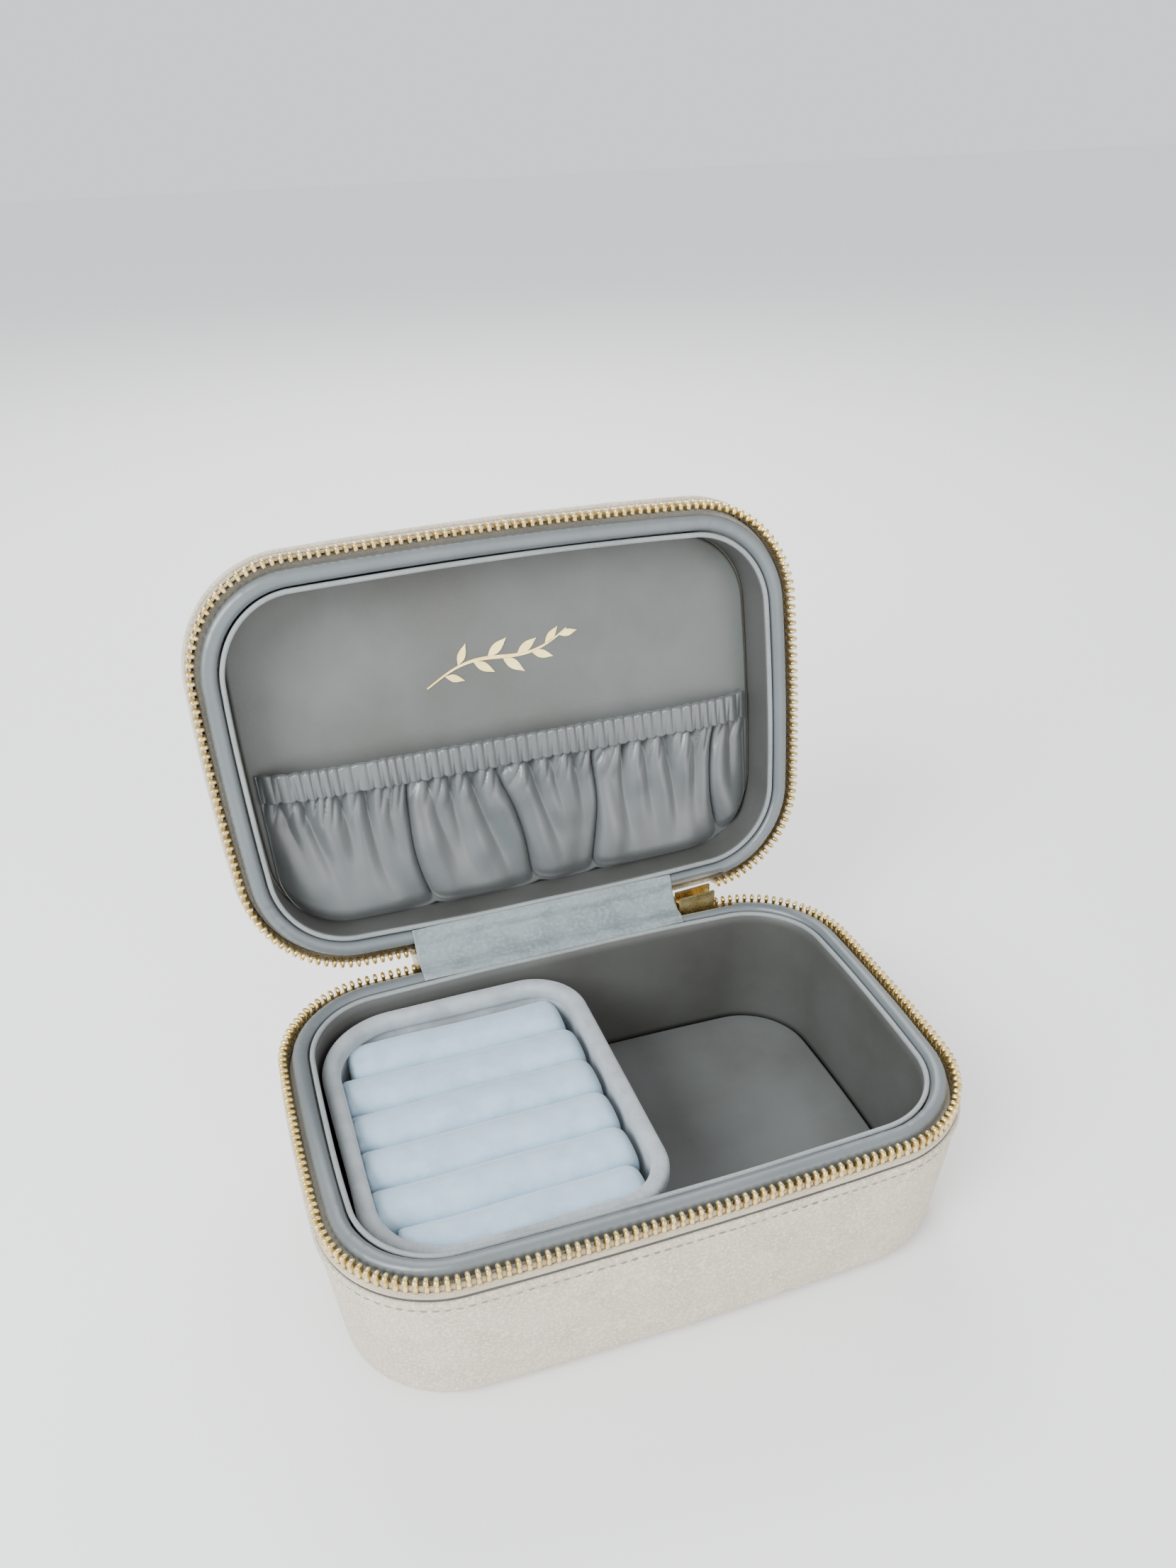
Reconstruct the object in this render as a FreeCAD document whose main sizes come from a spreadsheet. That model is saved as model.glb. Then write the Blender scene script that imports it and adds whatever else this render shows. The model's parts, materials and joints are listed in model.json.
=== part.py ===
import FreeCAD, Part
import math
import os

import Sketcher

Vec = FreeCAD.Vector

doc = FreeCAD.newDocument("travel_jewellery_case")
sheet = doc.addObject("Spreadsheet::Sheet", "Sizes")

# The zip line is the closed line on which both rows of teeth stand. Every wall of the case is an
# inset from it: a positive inset lies inside the line, a negative one outside.
# "Rim" is the plane where the closed rows meet. Base heights are counted up from the table, and
# drops are counted down from the rim; in the lid the same drops are counted up from the rim.
SIZES = {
    "zip_width": 176.7,             # zip line, side to side across the bowed middle
    "zip_depth": 119.2,             # zip line, front to back across the bowed middle
    "zip_corner": 31.0,             # corner radius of the zip line
    "front_bow": 1500.0,            # radius of the gently bowed front and back
    "side_bow": 700.0,              # radius of the gently bowed sides
    "rim_height": 53.0,             # table to rim
    "lid_height": 20.5,             # rim to the top of the closed lid
    "lid_opening": 102.0,           # angle at which the lid stands open
    "hinge_gap": 1.5,               # hinge axis behind the zip line
    "cover_outside": 1.4,           # outer face of the fabric cover, outside the zip line
    "cover_thickness": 1.05,
    "cover_drop": 7.4,              # rim to the top edge of the cover
    "cover_bend": 8.0,              # rounding where the cover turns under
    "tape_thickness": 0.6,
    "tape_top_drop": 3.0,           # rim to the tape's toothed edge
    "tape_foot_drop": 11.0,         # rim to the tape's sewn edge
    "tape_window": 12.0,            # half depth of the cut that ends the tape at the hinge
    "binding_width": 1.5,           # height of the turned edge of the cover
    "binding_round": 0.5,
    "binding_outside": 1.6,
    "wall_start": 0.5,              # outer face of the padded wall, inside the zip line
    "wall_end": 7.6,                # inner face of the padded wall
    "wall_drop": 5.4,               # rim to the top of the padded wall
    "lining_start": 7.8,
    "lining_end": 8.8,
    "lining_drop": 2.6,
    "collar_start": 2.9,            # padded bead beside the teeth
    "collar_end": 7.1,
    "collar_top_drop": 0.7,
    "collar_foot_drop": 5.2,
    "collar_round": 2.0,
    "piping_start": 7.4,            # thin piped edge inside the bead
    "piping_end": 8.8,
    "piping_top_drop": 1.4,
    "piping_foot_drop": 2.5,
    "floor_drop": 44.0,             # rim to the top of the floor pad
    "floor_pad": 4.0,               # thickness of the floor pad
    "board_thickness": 3.3,
    "layer_gap": 0.2,               # slack between stacked layers
    "panel_drop": 16.0,             # rim to the face of the lid's back panel
    "panel_thickness": 1.2,
    "tooth_pitch": 2.42,
    "row_start": 0.75,              # pitches to the base's first tooth; the lid's is half later
    "tooth_length": 1.3,            # size of a tooth along the chain
    "tooth_width": 2.4,             # size of a tooth across the tape
    "tooth_top_drop": 0.2,
    "tooth_foot_drop": 4.2,
    "tooth_shoulder": 1.2,          # height of the taper from tip to full length
    "tooth_tip": 0.8,               # size of the tip along the chain
    "tooth_slot_slack": 0.1,        # room in the slot that grips the tape
    "hinge_left": 42.0,             # hinge strip, left end from the middle
    "hinge_right": 42.0,            # hinge strip, right end from the middle
    "hinge_strip": 1.6,             # thickness of the hinge strip
    "hinge_strip_inset": 0.6,       # its outer face, inside the zip line
    "hinge_strip_drop": 0.3,
    "stop_length": 1.0,
    "stop_width": 2.2,
    "stop_top_drop": 1.0,
    "stop_foot_drop": 4.0,
    "slider_start": 43.6,           # left end of the slider from the middle
    "slider_length": 12.0,
    "slider_half_tall": 4.5,
    "slider_tail_half_tall": 3.7,
    "slider_half_gap": 1.55,        # half of the space between the slider's plates
    "slider_plate": 0.9,
    "slider_wedge": 6.5,            # length of the wedge between the rows
    "slider_wedge_past": 1.0,       # how far the wedge runs past the plates
    "slider_wedge_tall": 1.4,
    "slider_wedge_tip": 0.45,       # height of the wedge's blunt tip
    "slider_wedge_dip": 0.05,       # how far the wedge's foot dips below the rim
    "slider_wedge_slope": 1.0,      # where its slope starts, before the plates' end
    "slider_relief": 6.6,           # radius that the slider needs clear in the opening lid
    "slider_relief_past": 0.8,      # how far that space runs past the slider's ends
    "slider_travel": 2.4,
    "slider_grip": 1.6,             # how far the base's row runs in between the plates
    "lid_chain_start": 59.9,        # where the lid's row starts, from the middle
    "bail_inset": 2.6,              # slider's end to the bail's post
    "bail_length": 6.8,
    "bail_tall": 2.8,
    "bail_wire": 0.8,
    "ring_radius": 1.75,
    "ring_wire": 0.4,
    "ring_slack": 0.1,              # ring's wire to the bail's bar
    "pull_width": 7.0,
    "pull_length": 26.0,
    "pull_thickness": 1.1,
    "pull_shoulder": 7.0,           # length of the taper at the pull's upper end
    "pull_hole": 1.3,
    "pull_hole_edge": 1.85,          # pull's upper end to the middle of its hole
    "tray_side_room": 10.05,        # zip line to the tray's left face
    "tray_right": 2.6,
    "tray_end_room": 10.8,          # zip line to the tray's front and back faces
    "tray_left_corner": 24.0,
    "tray_right_corner": 17.0,
    "tray_wall": 2.4,
    "tray_top_drop": 6.2,           # rim to the top of the tray's rim roll
    "tray_seat": 0.2,
    "tray_roll_width": 5.0,
    "tray_roll_tall": 5.6,
    "tray_roll_round": 2.3,
    "bed_height": 18.0,             # foam bed under the ring rolls
    "ring_roll_top_drop": 10.4,
    "ring_roll_gap": 0.3,
    "ring_roll_round": 4.2,
    "ring_roll_corner": 4.6,
    "ring_roll_count": 6,
    "pocket_reach": 61.0,           # hinge axis to the pocket's mouth
    "pocket_depth": 6.6,            # panel to the front of the pocket
    "pocket_sheet": 0.9,
    "pocket_side": 2.2,             # least room between the pocket and the lining
    "pocket_corner": 24.0,
    "elastic_height": 8.4,
    "elastic_thickness": 1.4,
}

for row, (alias, size) in enumerate(SIZES.items(), start=1):
    sheet.set(f"A{row}", alias)
    sheet.set(f"B{row}", str(size))
    sheet.setAlias(f"B{row}", alias)
doc.recompute()


def number(expression):
    """The present value of an expression over the sheet."""
    return float(sheet.evalExpression(expression))


def size(alias):
    return number(f"Sizes.{alias}")


# Places that several pieces share, as expressions over the sheet.
ZIP_BACK = "Sizes.zip_depth / 2"
HINGE_Y = f"({ZIP_BACK} + Sizes.hinge_gap)"
COVER_OUT = "(0 - Sizes.cover_outside)"
COVER_IN = "(Sizes.cover_thickness - Sizes.cover_outside)"
FLOOR_TOP = "(Sizes.rim_height - Sizes.floor_drop)"
TRAY_LEFT = "(0 - Sizes.zip_width / 2 + Sizes.tray_side_room)"
TRAY_DEEP = "(Sizes.zip_depth / 2 - Sizes.tray_end_room)"
TRAY_FLOOR = f"({FLOOR_TOP} + Sizes.tray_seat)"
TRAY_TOP = "(Sizes.rim_height - Sizes.tray_top_drop)"
SLIDER_END = "(Sizes.slider_start + Sizes.slider_length)"
BAIL_LEFT = "(Sizes.slider_start + Sizes.bail_inset)"
PULL_MIDDLE = f"({BAIL_LEFT} + Sizes.bail_length / 2)"
TAPE_SLOT = "(Sizes.tape_thickness + Sizes.tooth_slot_slack)"

bodies = []


def new_body(name):
    body = doc.addObject("PartDesign::Body", name)
    body.Label = name
    bodies.append(body)
    return body


def new_sketch(body, plane, height="0"):
    """A sketch on one of the body's own origin planes, lifted along that plane's normal."""
    sketch = body.newObject("Sketcher::SketchObject", f"{body.Name}_sketch")
    origin_plane = next(item for item in body.Origin.OriginFeatures if item.Role == plane)
    sketch.AttachmentSupport = [(origin_plane, "")]
    sketch.MapMode = "FlatFace"
    sketch.setExpression("AttachmentOffset.Base.z", height)
    return sketch


def zip_back_at(x):
    """Where the bowed back of the zip line lies at x from the middle."""
    return f"({ZIP_BACK} - Sizes.front_bow + sqrt(Sizes.front_bow ^ 2 - {x} ^ 2))"


def bind(sketch, constraint, expression):
    index = sketch.addConstraint(constraint)
    sketch.setExpression(f"Constraints[{index}]", expression)


def zip_line_arcs(inset):
    """Eight tangent arcs, anticlockwise from the right side: centre x, y, radius, start, end."""
    corner = size("zip_corner") - inset
    side = size("side_bow") - inset
    front = size("front_bow") - inset
    side_x = size("zip_width") / 2 - size("side_bow")
    front_y = size("zip_depth") / 2 - size("front_bow")
    # The corner's centre is where circles about the two bow centres cross.
    span = math.hypot(side_x, front_y)
    reach_side = side - corner
    reach_front = front - corner
    along = (reach_side ** 2 - reach_front ** 2 + span ** 2) / (2 * span)
    across = math.sqrt(reach_side ** 2 - along ** 2)
    unit_x = -side_x / span
    unit_y = front_y / span
    corner_x = side_x + along * unit_x - across * unit_y
    corner_y = along * unit_y + across * unit_x
    low = math.atan2(corner_y, corner_x - side_x)
    high = math.atan2(corner_y - front_y, corner_x)
    half = math.pi
    return [
        (side_x, 0, side, -low, low),
        (corner_x, corner_y, corner, low, high),
        (0, front_y, front, high, half - high),
        (-corner_x, corner_y, corner, half - high, half - low),
        (-side_x, 0, side, half - low, half + low),
        (-corner_x, -corner_y, corner, half + low, half + high),
        (0, -front_y, front, half + high, 2 * half - high),
        (corner_x, -corner_y, corner, 2 * half - high, 2 * half - low),
    ]


def bowed_outline(sketch, inset):
    """A closed outline of eight tangent arcs, inset from the zip line."""
    first = sketch.GeometryCount
    for x, y, radius, start, end in zip_line_arcs(number(inset)):
        circle = Part.Circle(Vec(x, y, 0), Vec(0, 0, 1), radius)
        sketch.addGeometry(Part.ArcOfCircle(circle, start, end), False)
    right, back, left, front = first, first + 2, first + 4, first + 6
    ties = []
    for step in range(8):
        ties.append(Sketcher.Constraint("Tangent", first + step, 2, first + (step + 1) % 8, 1))
    for corner in (first + 3, first + 5, first + 7):
        ties.append(Sketcher.Constraint("Equal", first + 1, corner))
    for arc in (right, left):
        ties.append(Sketcher.Constraint("PointOnObject", arc, 3, -1))
    for arc in (back, front):
        ties.append(Sketcher.Constraint("PointOnObject", arc, 3, -2))
    sketch.addConstraint(ties)
    radii = ((right, "side_bow"), (left, "side_bow"), (back, "front_bow"), (front, "front_bow"),
             (first + 1, "zip_corner"))
    for arc, alias in radii:
        radius = f"Sizes.{alias} - ({inset})"
        bind(sketch, Sketcher.Constraint("Radius", arc, number(radius)), radius)
    side = "Sizes.side_bow - Sizes.zip_width / 2"
    deep = "Sizes.front_bow - Sizes.zip_depth / 2"
    bind(sketch, Sketcher.Constraint("DistanceX", right, 3, -1, 1, number(side)), side)
    bind(sketch, Sketcher.Constraint("DistanceX", -1, 1, left, 3, number(side)), side)
    bind(sketch, Sketcher.Constraint("DistanceY", back, 3, -1, 1, number(deep)), deep)
    bind(sketch, Sketcher.Constraint("DistanceY", -1, 1, front, 3, number(deep)), deep)


def polygon(sketch, points):
    """A closed polygon; each point is a pair of expressions that place it from the origin."""
    first = sketch.GeometryCount
    spots = [Vec(number(x), number(y), 0) for x, y in points]
    count = len(spots)
    for step in range(count):
        sketch.addGeometry(Part.LineSegment(spots[step], spots[(step + 1) % count]), False)
    for step in range(count):
        sketch.addConstraint(
            Sketcher.Constraint("Coincident", first + step, 2, first + (step + 1) % count, 1))
    for step, (x, y) in enumerate(points):
        bind(sketch, Sketcher.Constraint("DistanceX", -1, 1, first + step, 1, number(x)), x)
        bind(sketch, Sketcher.Constraint("DistanceY", -1, 1, first + step, 1, number(y)), y)


def box_outline(sketch, left, right, front, back):
    polygon(sketch, [(left, front), (right, front), (right, back), (left, back)])


def pad(body, sketch, length):
    feature = body.newObject("PartDesign::Pad", f"{body.Name}_pad")
    feature.Profile = sketch
    feature.setExpression("Length", length)
    doc.recompute()
    return feature


def pocket(body, sketch, depth):
    """Cuts against the sketch plane's normal, and stops if nothing was cut."""
    before = body.Shape.Volume
    feature = body.newObject("PartDesign::Pocket", f"{body.Name}_pocket")
    feature.Profile = sketch
    feature.setExpression("Length", depth)
    doc.recompute()
    if body.Shape.Volume > before - 1e-3:
        raise RuntimeError(f"{feature.Name} cuts nothing")
    return feature


def fillet(body, feature, radius, keep):
    """Rounds the edges of a feature that the test keep accepts."""
    names = [f"Edge{index}" for index, edge in enumerate(feature.Shape.Edges, start=1)
             if keep(edge)]
    rounding = body.newObject("PartDesign::Fillet", f"{body.Name}_fillet")
    rounding.Base = (feature, names)
    rounding.setExpression("Radius", radius)
    doc.recompute()
    return rounding


def level_at(height):
    """A test for edges that lie flat at one height."""
    def keep(edge):
        box = edge.BoundBox
        return abs(box.ZMin - height) < 1e-4 and abs(box.ZMax - height) < 1e-4
    return keep


def upright(edge):
    box = edge.BoundBox
    return box.XLength < 1e-4 and box.YLength < 1e-4


def bowed_plate(name, inset, low, high):
    body = new_body(name)
    sketch = new_sketch(body, "XY_Plane", low)
    bowed_outline(sketch, inset)
    pad(body, sketch, f"{high} - ({low})")
    return body


def bowed_ring(name, outer, inner, low, high):
    """A wall that runs all the way round, between two insets of the zip line."""
    body = new_body(name)
    sketch = new_sketch(body, "XY_Plane", low)
    bowed_outline(sketch, outer)
    bowed_outline(sketch, inner)
    pad(body, sketch, f"{high} - ({low})")
    return body


# The base is built where it stands. The lid is built closed, with the rim at height 0, and is
# then swung open about the hinge axis. A half answers where a drop from the rim lies in it.
class Half:
    def __init__(self, name, rim, sign):
        self.name = name
        self.rim = rim
        self.sign = sign

    def drop(self, expression):
        return f"({self.rim} {'-' if self.sign < 0 else '+'} ({expression}))"

    def span(self, near, far):
        """The lower and upper ends of a stretch between two drops, as a pair."""
        ends = (self.drop(near), self.drop(far))
        return ends if self.sign > 0 else ends[::-1]


BASE = Half("base", "Sizes.rim_height", -1)
LID = Half("lid", "0", 1)


def swing_open(body):
    hinge = Vec(0, number(HINGE_Y), 0)
    rim = Vec(0, 0, size("rim_height"))
    turn = FreeCAD.Rotation(Vec(1, 0, 0), -size("lid_opening"))
    body.Placement = FreeCAD.Placement(hinge + rim - turn.multVec(hinge), turn)


def outer_cover(half, outer_drop):
    """Fabric cover: a tub with a turned-under edge, open at its rim side."""
    body = new_body(f"{half.name}_outer_cover")
    low, high = half.span("Sizes.cover_drop", outer_drop)
    sketch = new_sketch(body, "XY_Plane", low)
    bowed_outline(sketch, COVER_OUT)
    pad(body, sketch, f"{high} - ({low})")
    inside = half.span("Sizes.cover_drop", f"{outer_drop} - Sizes.cover_thickness")
    cavity = new_sketch(body, "XY_Plane", inside[1])
    bowed_outline(cavity, COVER_IN)
    block = pocket(body, cavity, f"{inside[1]} - ({inside[0]})")
    floor = number(inside[0]) if half.sign < 0 else number(inside[1])
    block = fillet(body, block, "Sizes.cover_bend - Sizes.cover_thickness", level_at(floor))
    far = number(low) if half.sign < 0 else number(high)
    fillet(body, block, "Sizes.cover_bend", level_at(far))
    return body


def edge_binding(half):
    low, high = half.span("Sizes.cover_drop - Sizes.binding_width", "Sizes.cover_drop")
    body = bowed_ring(f"{half.name}_edge_binding", "0 - Sizes.binding_outside",
                      "0 - Sizes.tape_thickness / 2", low, high)
    near = number(half.drop("Sizes.cover_drop - Sizes.binding_width"))
    fillet(body, body.Tip, "Sizes.binding_round", level_at(near))
    return body


def zip_tape(half, right_end):
    """Woven tape that stands on edge along the zip line, and is missing along the hinge."""
    low, high = half.span("Sizes.tape_top_drop", "Sizes.tape_foot_drop")
    body = bowed_ring(f"{half.name}_zip_tape", "0 - Sizes.tape_thickness / 2",
                      "Sizes.tape_thickness / 2", low, high)
    window = new_sketch(body, "XY_Plane", high)
    box_outline(window, "0 - Sizes.hinge_left", right_end, f"{ZIP_BACK} - Sizes.tape_window",
                f"{ZIP_BACK} + Sizes.tape_window")
    pocket(body, window, f"{high} - ({low})")
    return body


def collar(half):
    low, high = half.span("Sizes.collar_top_drop", "Sizes.collar_foot_drop")
    body = bowed_ring(f"{half.name}_collar", "Sizes.collar_start", "Sizes.collar_end", low, high)
    near = number(half.drop("Sizes.collar_top_drop"))
    widest = "0.45 * (Sizes.collar_end - Sizes.collar_start)"
    fillet(body, body.Tip, f"min(Sizes.collar_round; {widest})", level_at(near))
    return body


def relieve_for_slider(body):
    """Clears the round space that the slider sweeps as the lid turns about the hinge axis."""
    reach = "Sizes.slider_wedge_past + Sizes.slider_travel + Sizes.slider_relief_past"
    right = f"({SLIDER_END} + {reach})"
    sketch = new_sketch(body, "YZ_Plane", right)
    circle = Part.Circle(Vec(number(HINGE_Y), 0, 0), Vec(0, 0, 1), size("slider_relief"))
    sketch.addGeometry(circle, False)
    sketch.addConstraint(Sketcher.Constraint("PointOnObject", 0, 3, -1))
    bind(sketch, Sketcher.Constraint("DistanceX", -1, 1, 0, 3, number(HINGE_Y)), HINGE_Y)
    bind(sketch, Sketcher.Constraint("Radius", 0, size("slider_relief")), "Sizes.slider_relief")
    pocket(body, sketch, f"{right} - Sizes.slider_start + Sizes.slider_relief_past")


def hinge_panel(half):
    """Half of the folded hinge strip, between the zip's two ends."""
    body = new_body(f"hinge_strip_{half.name}")
    low, high = half.span("Sizes.hinge_strip_drop", "Sizes.wall_drop - Sizes.layer_gap")
    sketch = new_sketch(body, "XY_Plane", low)
    outer = f"({ZIP_BACK} - Sizes.hinge_strip_inset)"
    box_outline(sketch, "0 - Sizes.hinge_left", "Sizes.hinge_right",
                f"{outer} - Sizes.hinge_strip", outer)
    pad(body, sketch, f"{high} - ({low})")
    return body


def tooth_solid(half):
    """A tooth is a stub with a narrower tip, and its foot grips the tape's edge."""
    wide = size("tooth_length") / 2
    tip = size("tooth_tip") / 2
    near = size("tooth_top_drop")
    shoulder = near + size("tooth_shoulder")
    far = size("tooth_foot_drop")
    profile = [(-wide, far), (wide, far), (wide, shoulder), (tip, near), (-tip, near),
               (-wide, shoulder)]
    across = -size("tooth_width") / 2
    points = [Vec(along, across, half.sign * height) for along, height in profile]
    face = Part.Face(Part.makePolygon(points + points[:1]))
    tooth = face.extrude(Vec(0, size("tooth_width"), 0))
    slot_width = number(TAPE_SLOT)
    slot_tall = far - size("tape_top_drop")
    slot_low = min(half.sign * far, half.sign * size("tape_top_drop"))
    slot = Part.makeBox(2 * wide, slot_width, slot_tall, Vec(-wide, -slot_width / 2, slot_low))
    return tooth.cut(slot)


def chain_places(right_end, start_share):
    """Spots along the zip line, a pitch apart: position and direction angle.

    The row runs from the left end of the hinge round the left, front and right sides, and
    stops before x = right_end. Its first tooth stands a share of a pitch after its start.
    """
    arcs = zip_line_arcs(0)
    back = arcs[2]
    left_angle = math.acos(-size("hinge_left") / back[2])
    route = [(*back[:3], left_angle, back[4])] + arcs[3:] + arcs[:2]
    route.append((*back[:3], back[3], math.pi / 2))
    pitch = size("tooth_pitch")
    wait = pitch * number(start_share)
    for x, y, radius, start, end in route:
        length = radius * (end - start)
        while wait < length:
            angle = start + wait / radius
            spot = Vec(x + radius * math.cos(angle), y + radius * math.sin(angle), 0)
            if spot.y > 0 and 0 < spot.x < right_end:
                return
            yield spot, angle
            wait += pitch
        wait -= length


def zip_teeth(half, right_end, start_share):
    tooth = tooth_solid(half)
    rim = Vec(0, 0, number(half.rim))
    row = []
    for spot, angle in chain_places(right_end, start_share):
        turn = FreeCAD.Rotation(Vec(0, 0, 1), math.degrees(angle) + 90)
        copy = tooth.copy()
        copy.Placement = FreeCAD.Placement(spot + rim, turn)
        row.append(copy)
    feature = doc.addObject("Part::Feature", f"{half.name}_zip_teeth")
    feature.Label = feature.Name
    feature.Shape = Part.makeCompound(row)
    bodies.append(feature)
    return feature


def top_stop(half):
    """Metal clip on the tape's edge at the end of a row, at the hinge strip's left end."""
    body = new_body(f"{half.name}_zip_top_stop")
    low, high = half.span("Sizes.stop_top_drop", "Sizes.stop_foot_drop")
    right = "(0 - Sizes.hinge_left)"
    left = f"({right} - Sizes.stop_length)"
    middle = zip_back_at(f"({right} - Sizes.stop_length / 2)")
    sketch = new_sketch(body, "XY_Plane", low)
    box_outline(sketch, left, right, f"{middle} - Sizes.stop_width / 2",
                f"{middle} + Sizes.stop_width / 2")
    pad(body, sketch, f"{high} - ({low})")
    slot_low, slot_high = half.span("Sizes.tape_top_drop", "Sizes.stop_foot_drop")
    slot = new_sketch(body, "XY_Plane", slot_high)
    box_outline(slot, left, right, f"{middle} - {TAPE_SLOT} / 2", f"{middle} + {TAPE_SLOT} / 2")
    pocket(body, slot, f"{slot_high} - ({slot_low})")
    return body


def base_half():
    outer_cover(BASE, "Sizes.rim_height")
    bowed_plate("base_bottom_board", f"{COVER_IN} + Sizes.cover_bend",
                "Sizes.cover_thickness + Sizes.layer_gap",
                "Sizes.cover_thickness + Sizes.layer_gap + Sizes.board_thickness")
    bowed_plate("base_floor_pad", "Sizes.lining_end + Sizes.layer_gap",
                f"{FLOOR_TOP} - Sizes.floor_pad", FLOOR_TOP)
    bowed_ring("base_padded_wall", "Sizes.wall_start", "Sizes.wall_end", "Sizes.cover_bend",
               BASE.drop("Sizes.wall_drop"))
    bowed_ring("base_lining", "Sizes.lining_start", "Sizes.lining_end",
               f"({FLOOR_TOP} - Sizes.floor_pad)", BASE.drop("Sizes.lining_drop"))
    collar(BASE)
    bowed_ring("base_piping", "Sizes.piping_start", "Sizes.piping_end",
               BASE.drop("Sizes.piping_foot_drop"), BASE.drop("Sizes.piping_top_drop"))
    edge_binding(BASE)
    zip_tape(BASE, "Sizes.hinge_right")
    zip_teeth(BASE, number("Sizes.slider_start + Sizes.slider_grip"), "Sizes.row_start")
    top_stop(BASE)
    hinge_panel(BASE)


def lid_half():
    start = len(bodies)
    outer_cover(LID, "Sizes.lid_height")
    board = "(Sizes.lid_height - Sizes.cover_thickness - Sizes.layer_gap)"
    bowed_plate("lid_top_board", f"{COVER_IN} + Sizes.cover_bend",
                "Sizes.panel_drop + Sizes.panel_thickness + Sizes.layer_gap", board)
    bowed_plate("lid_back_panel", "Sizes.lining_end + Sizes.layer_gap",
                "Sizes.panel_drop", "Sizes.panel_drop + Sizes.panel_thickness")
    panel_foot = "Sizes.panel_drop + Sizes.panel_thickness"
    wall = bowed_ring("lid_padded_wall", "Sizes.wall_start", "Sizes.wall_end",
                      "Sizes.wall_drop", "(Sizes.lid_height - Sizes.cover_bend)")
    relieve_for_slider(wall)
    bowed_ring("lid_lining", "Sizes.lining_start", "Sizes.lining_end", "Sizes.lining_drop",
               panel_foot)
    relieve_for_slider(collar(LID))
    bowed_ring("lid_piping", "Sizes.piping_start", "Sizes.piping_end",
               "Sizes.piping_top_drop", "Sizes.piping_foot_drop")
    edge_binding(LID)
    zip_tape(LID, "Sizes.lid_chain_start - Sizes.tooth_length")
    zip_teeth(LID, size("lid_chain_start"), "Sizes.row_start + 0.5")
    top_stop(LID)
    hinge_panel(LID)
    lid_pocket()
    for body in bodies[start:]:
        swing_open(body)


def lid_pocket():
    """Gathered pouch on the panel: a front sheet with three edges, open at its mouth."""
    front = "(Sizes.panel_drop - Sizes.pocket_depth)"
    back = "(Sizes.panel_drop - Sizes.layer_gap)"
    half = "(Sizes.zip_width / 2 - Sizes.lining_end - Sizes.pocket_side)"
    hinge_side = f"({ZIP_BACK} - Sizes.lining_end - Sizes.pocket_side)"
    mouth = f"({HINGE_Y} - Sizes.pocket_reach)"
    square = "0.01"
    body = new_body("lid_pocket")
    sketch = new_sketch(body, "XY_Plane", front)
    box_outline(sketch, f"0 - {half}", half, mouth, hinge_side)
    block = pad(body, sketch, f"{back} - {front}")
    edge_y = number(hinge_side)

    def hinge_corner(edge):
        return upright(edge) and abs(edge.BoundBox.YMax - edge_y) < 1e-3
    fillet(body, block, "Sizes.pocket_corner", hinge_corner)
    inside = new_sketch(body, "XY_Plane", back)
    wide = f"({half} - Sizes.pocket_sheet)"
    deep = f"({hinge_side} - Sizes.pocket_sheet)"
    bend = "(Sizes.pocket_corner - Sizes.pocket_sheet)"
    rounded_box(inside, f"0 - {wide}", wide, f"({mouth} - 1)", deep,
                (square, square, bend, bend))
    pocket(body, inside, f"{back} - {front} - Sizes.pocket_sheet")

    band = new_body("lid_pocket_elastic")
    sketch = new_sketch(band, "XY_Plane", f"{front} - Sizes.layer_gap - Sizes.elastic_thickness")
    box_outline(sketch, f"0 - {half}", half, mouth, f"{mouth} + Sizes.elastic_height")
    pad(band, sketch, "Sizes.elastic_thickness")


def slider_zip_y():
    return zip_back_at("(Sizes.slider_start + Sizes.slider_length / 2)")


def slider_outer_face():
    return f"({slider_zip_y()} + Sizes.slider_half_gap + Sizes.slider_plate)"


# The XZ plane's normal points to the front, so a sketch at a height of -y lies at y.
def zip_slider():
    """Two plates, one inside and one outside the row, joined by the wedge that parts the rows."""
    rim = "Sizes.rim_height"
    start = "Sizes.slider_start"
    gap = "Sizes.slider_half_gap"
    outline = [(start, f"{rim} - Sizes.slider_tail_half_tall"),
               (SLIDER_END, f"{rim} - Sizes.slider_half_tall"),
               (SLIDER_END, f"{rim} + Sizes.slider_half_tall"),
               (start, f"{rim} + Sizes.slider_tail_half_tall")]
    body = new_body("zip_slider")
    inner_plate = new_sketch(body, "XZ_Plane", f"0 - ({slider_zip_y()} - {gap})")
    polygon(inner_plate, outline)
    pad(body, inner_plate, "Sizes.slider_plate")

    tip = f"({SLIDER_END} + Sizes.slider_wedge_past)"
    back = f"({tip} - Sizes.slider_wedge)"
    foot = f"({rim} - Sizes.slider_wedge_dip)"
    top = f"({rim} + Sizes.slider_wedge_tall)"
    half_plate = "Sizes.slider_plate / 2"
    wedge = new_sketch(body, "XZ_Plane", f"0 - ({slider_outer_face()} - {half_plate})")
    polygon(wedge, [(back, foot), (tip, foot), (tip, f"{rim} + Sizes.slider_wedge_tip"),
                    (f"{SLIDER_END} - Sizes.slider_wedge_slope", top), (back, top)])
    pad(body, wedge, f"2 * ({gap} + {half_plate})")

    outer_plate = new_sketch(body, "XZ_Plane", f"0 - {slider_outer_face()}")
    polygon(outer_plate, outline)
    pad(body, outer_plate, "Sizes.slider_plate")


def bail_bar_y():
    return f"({slider_outer_face()} + Sizes.bail_tall - Sizes.bail_wire / 2)"


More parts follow.
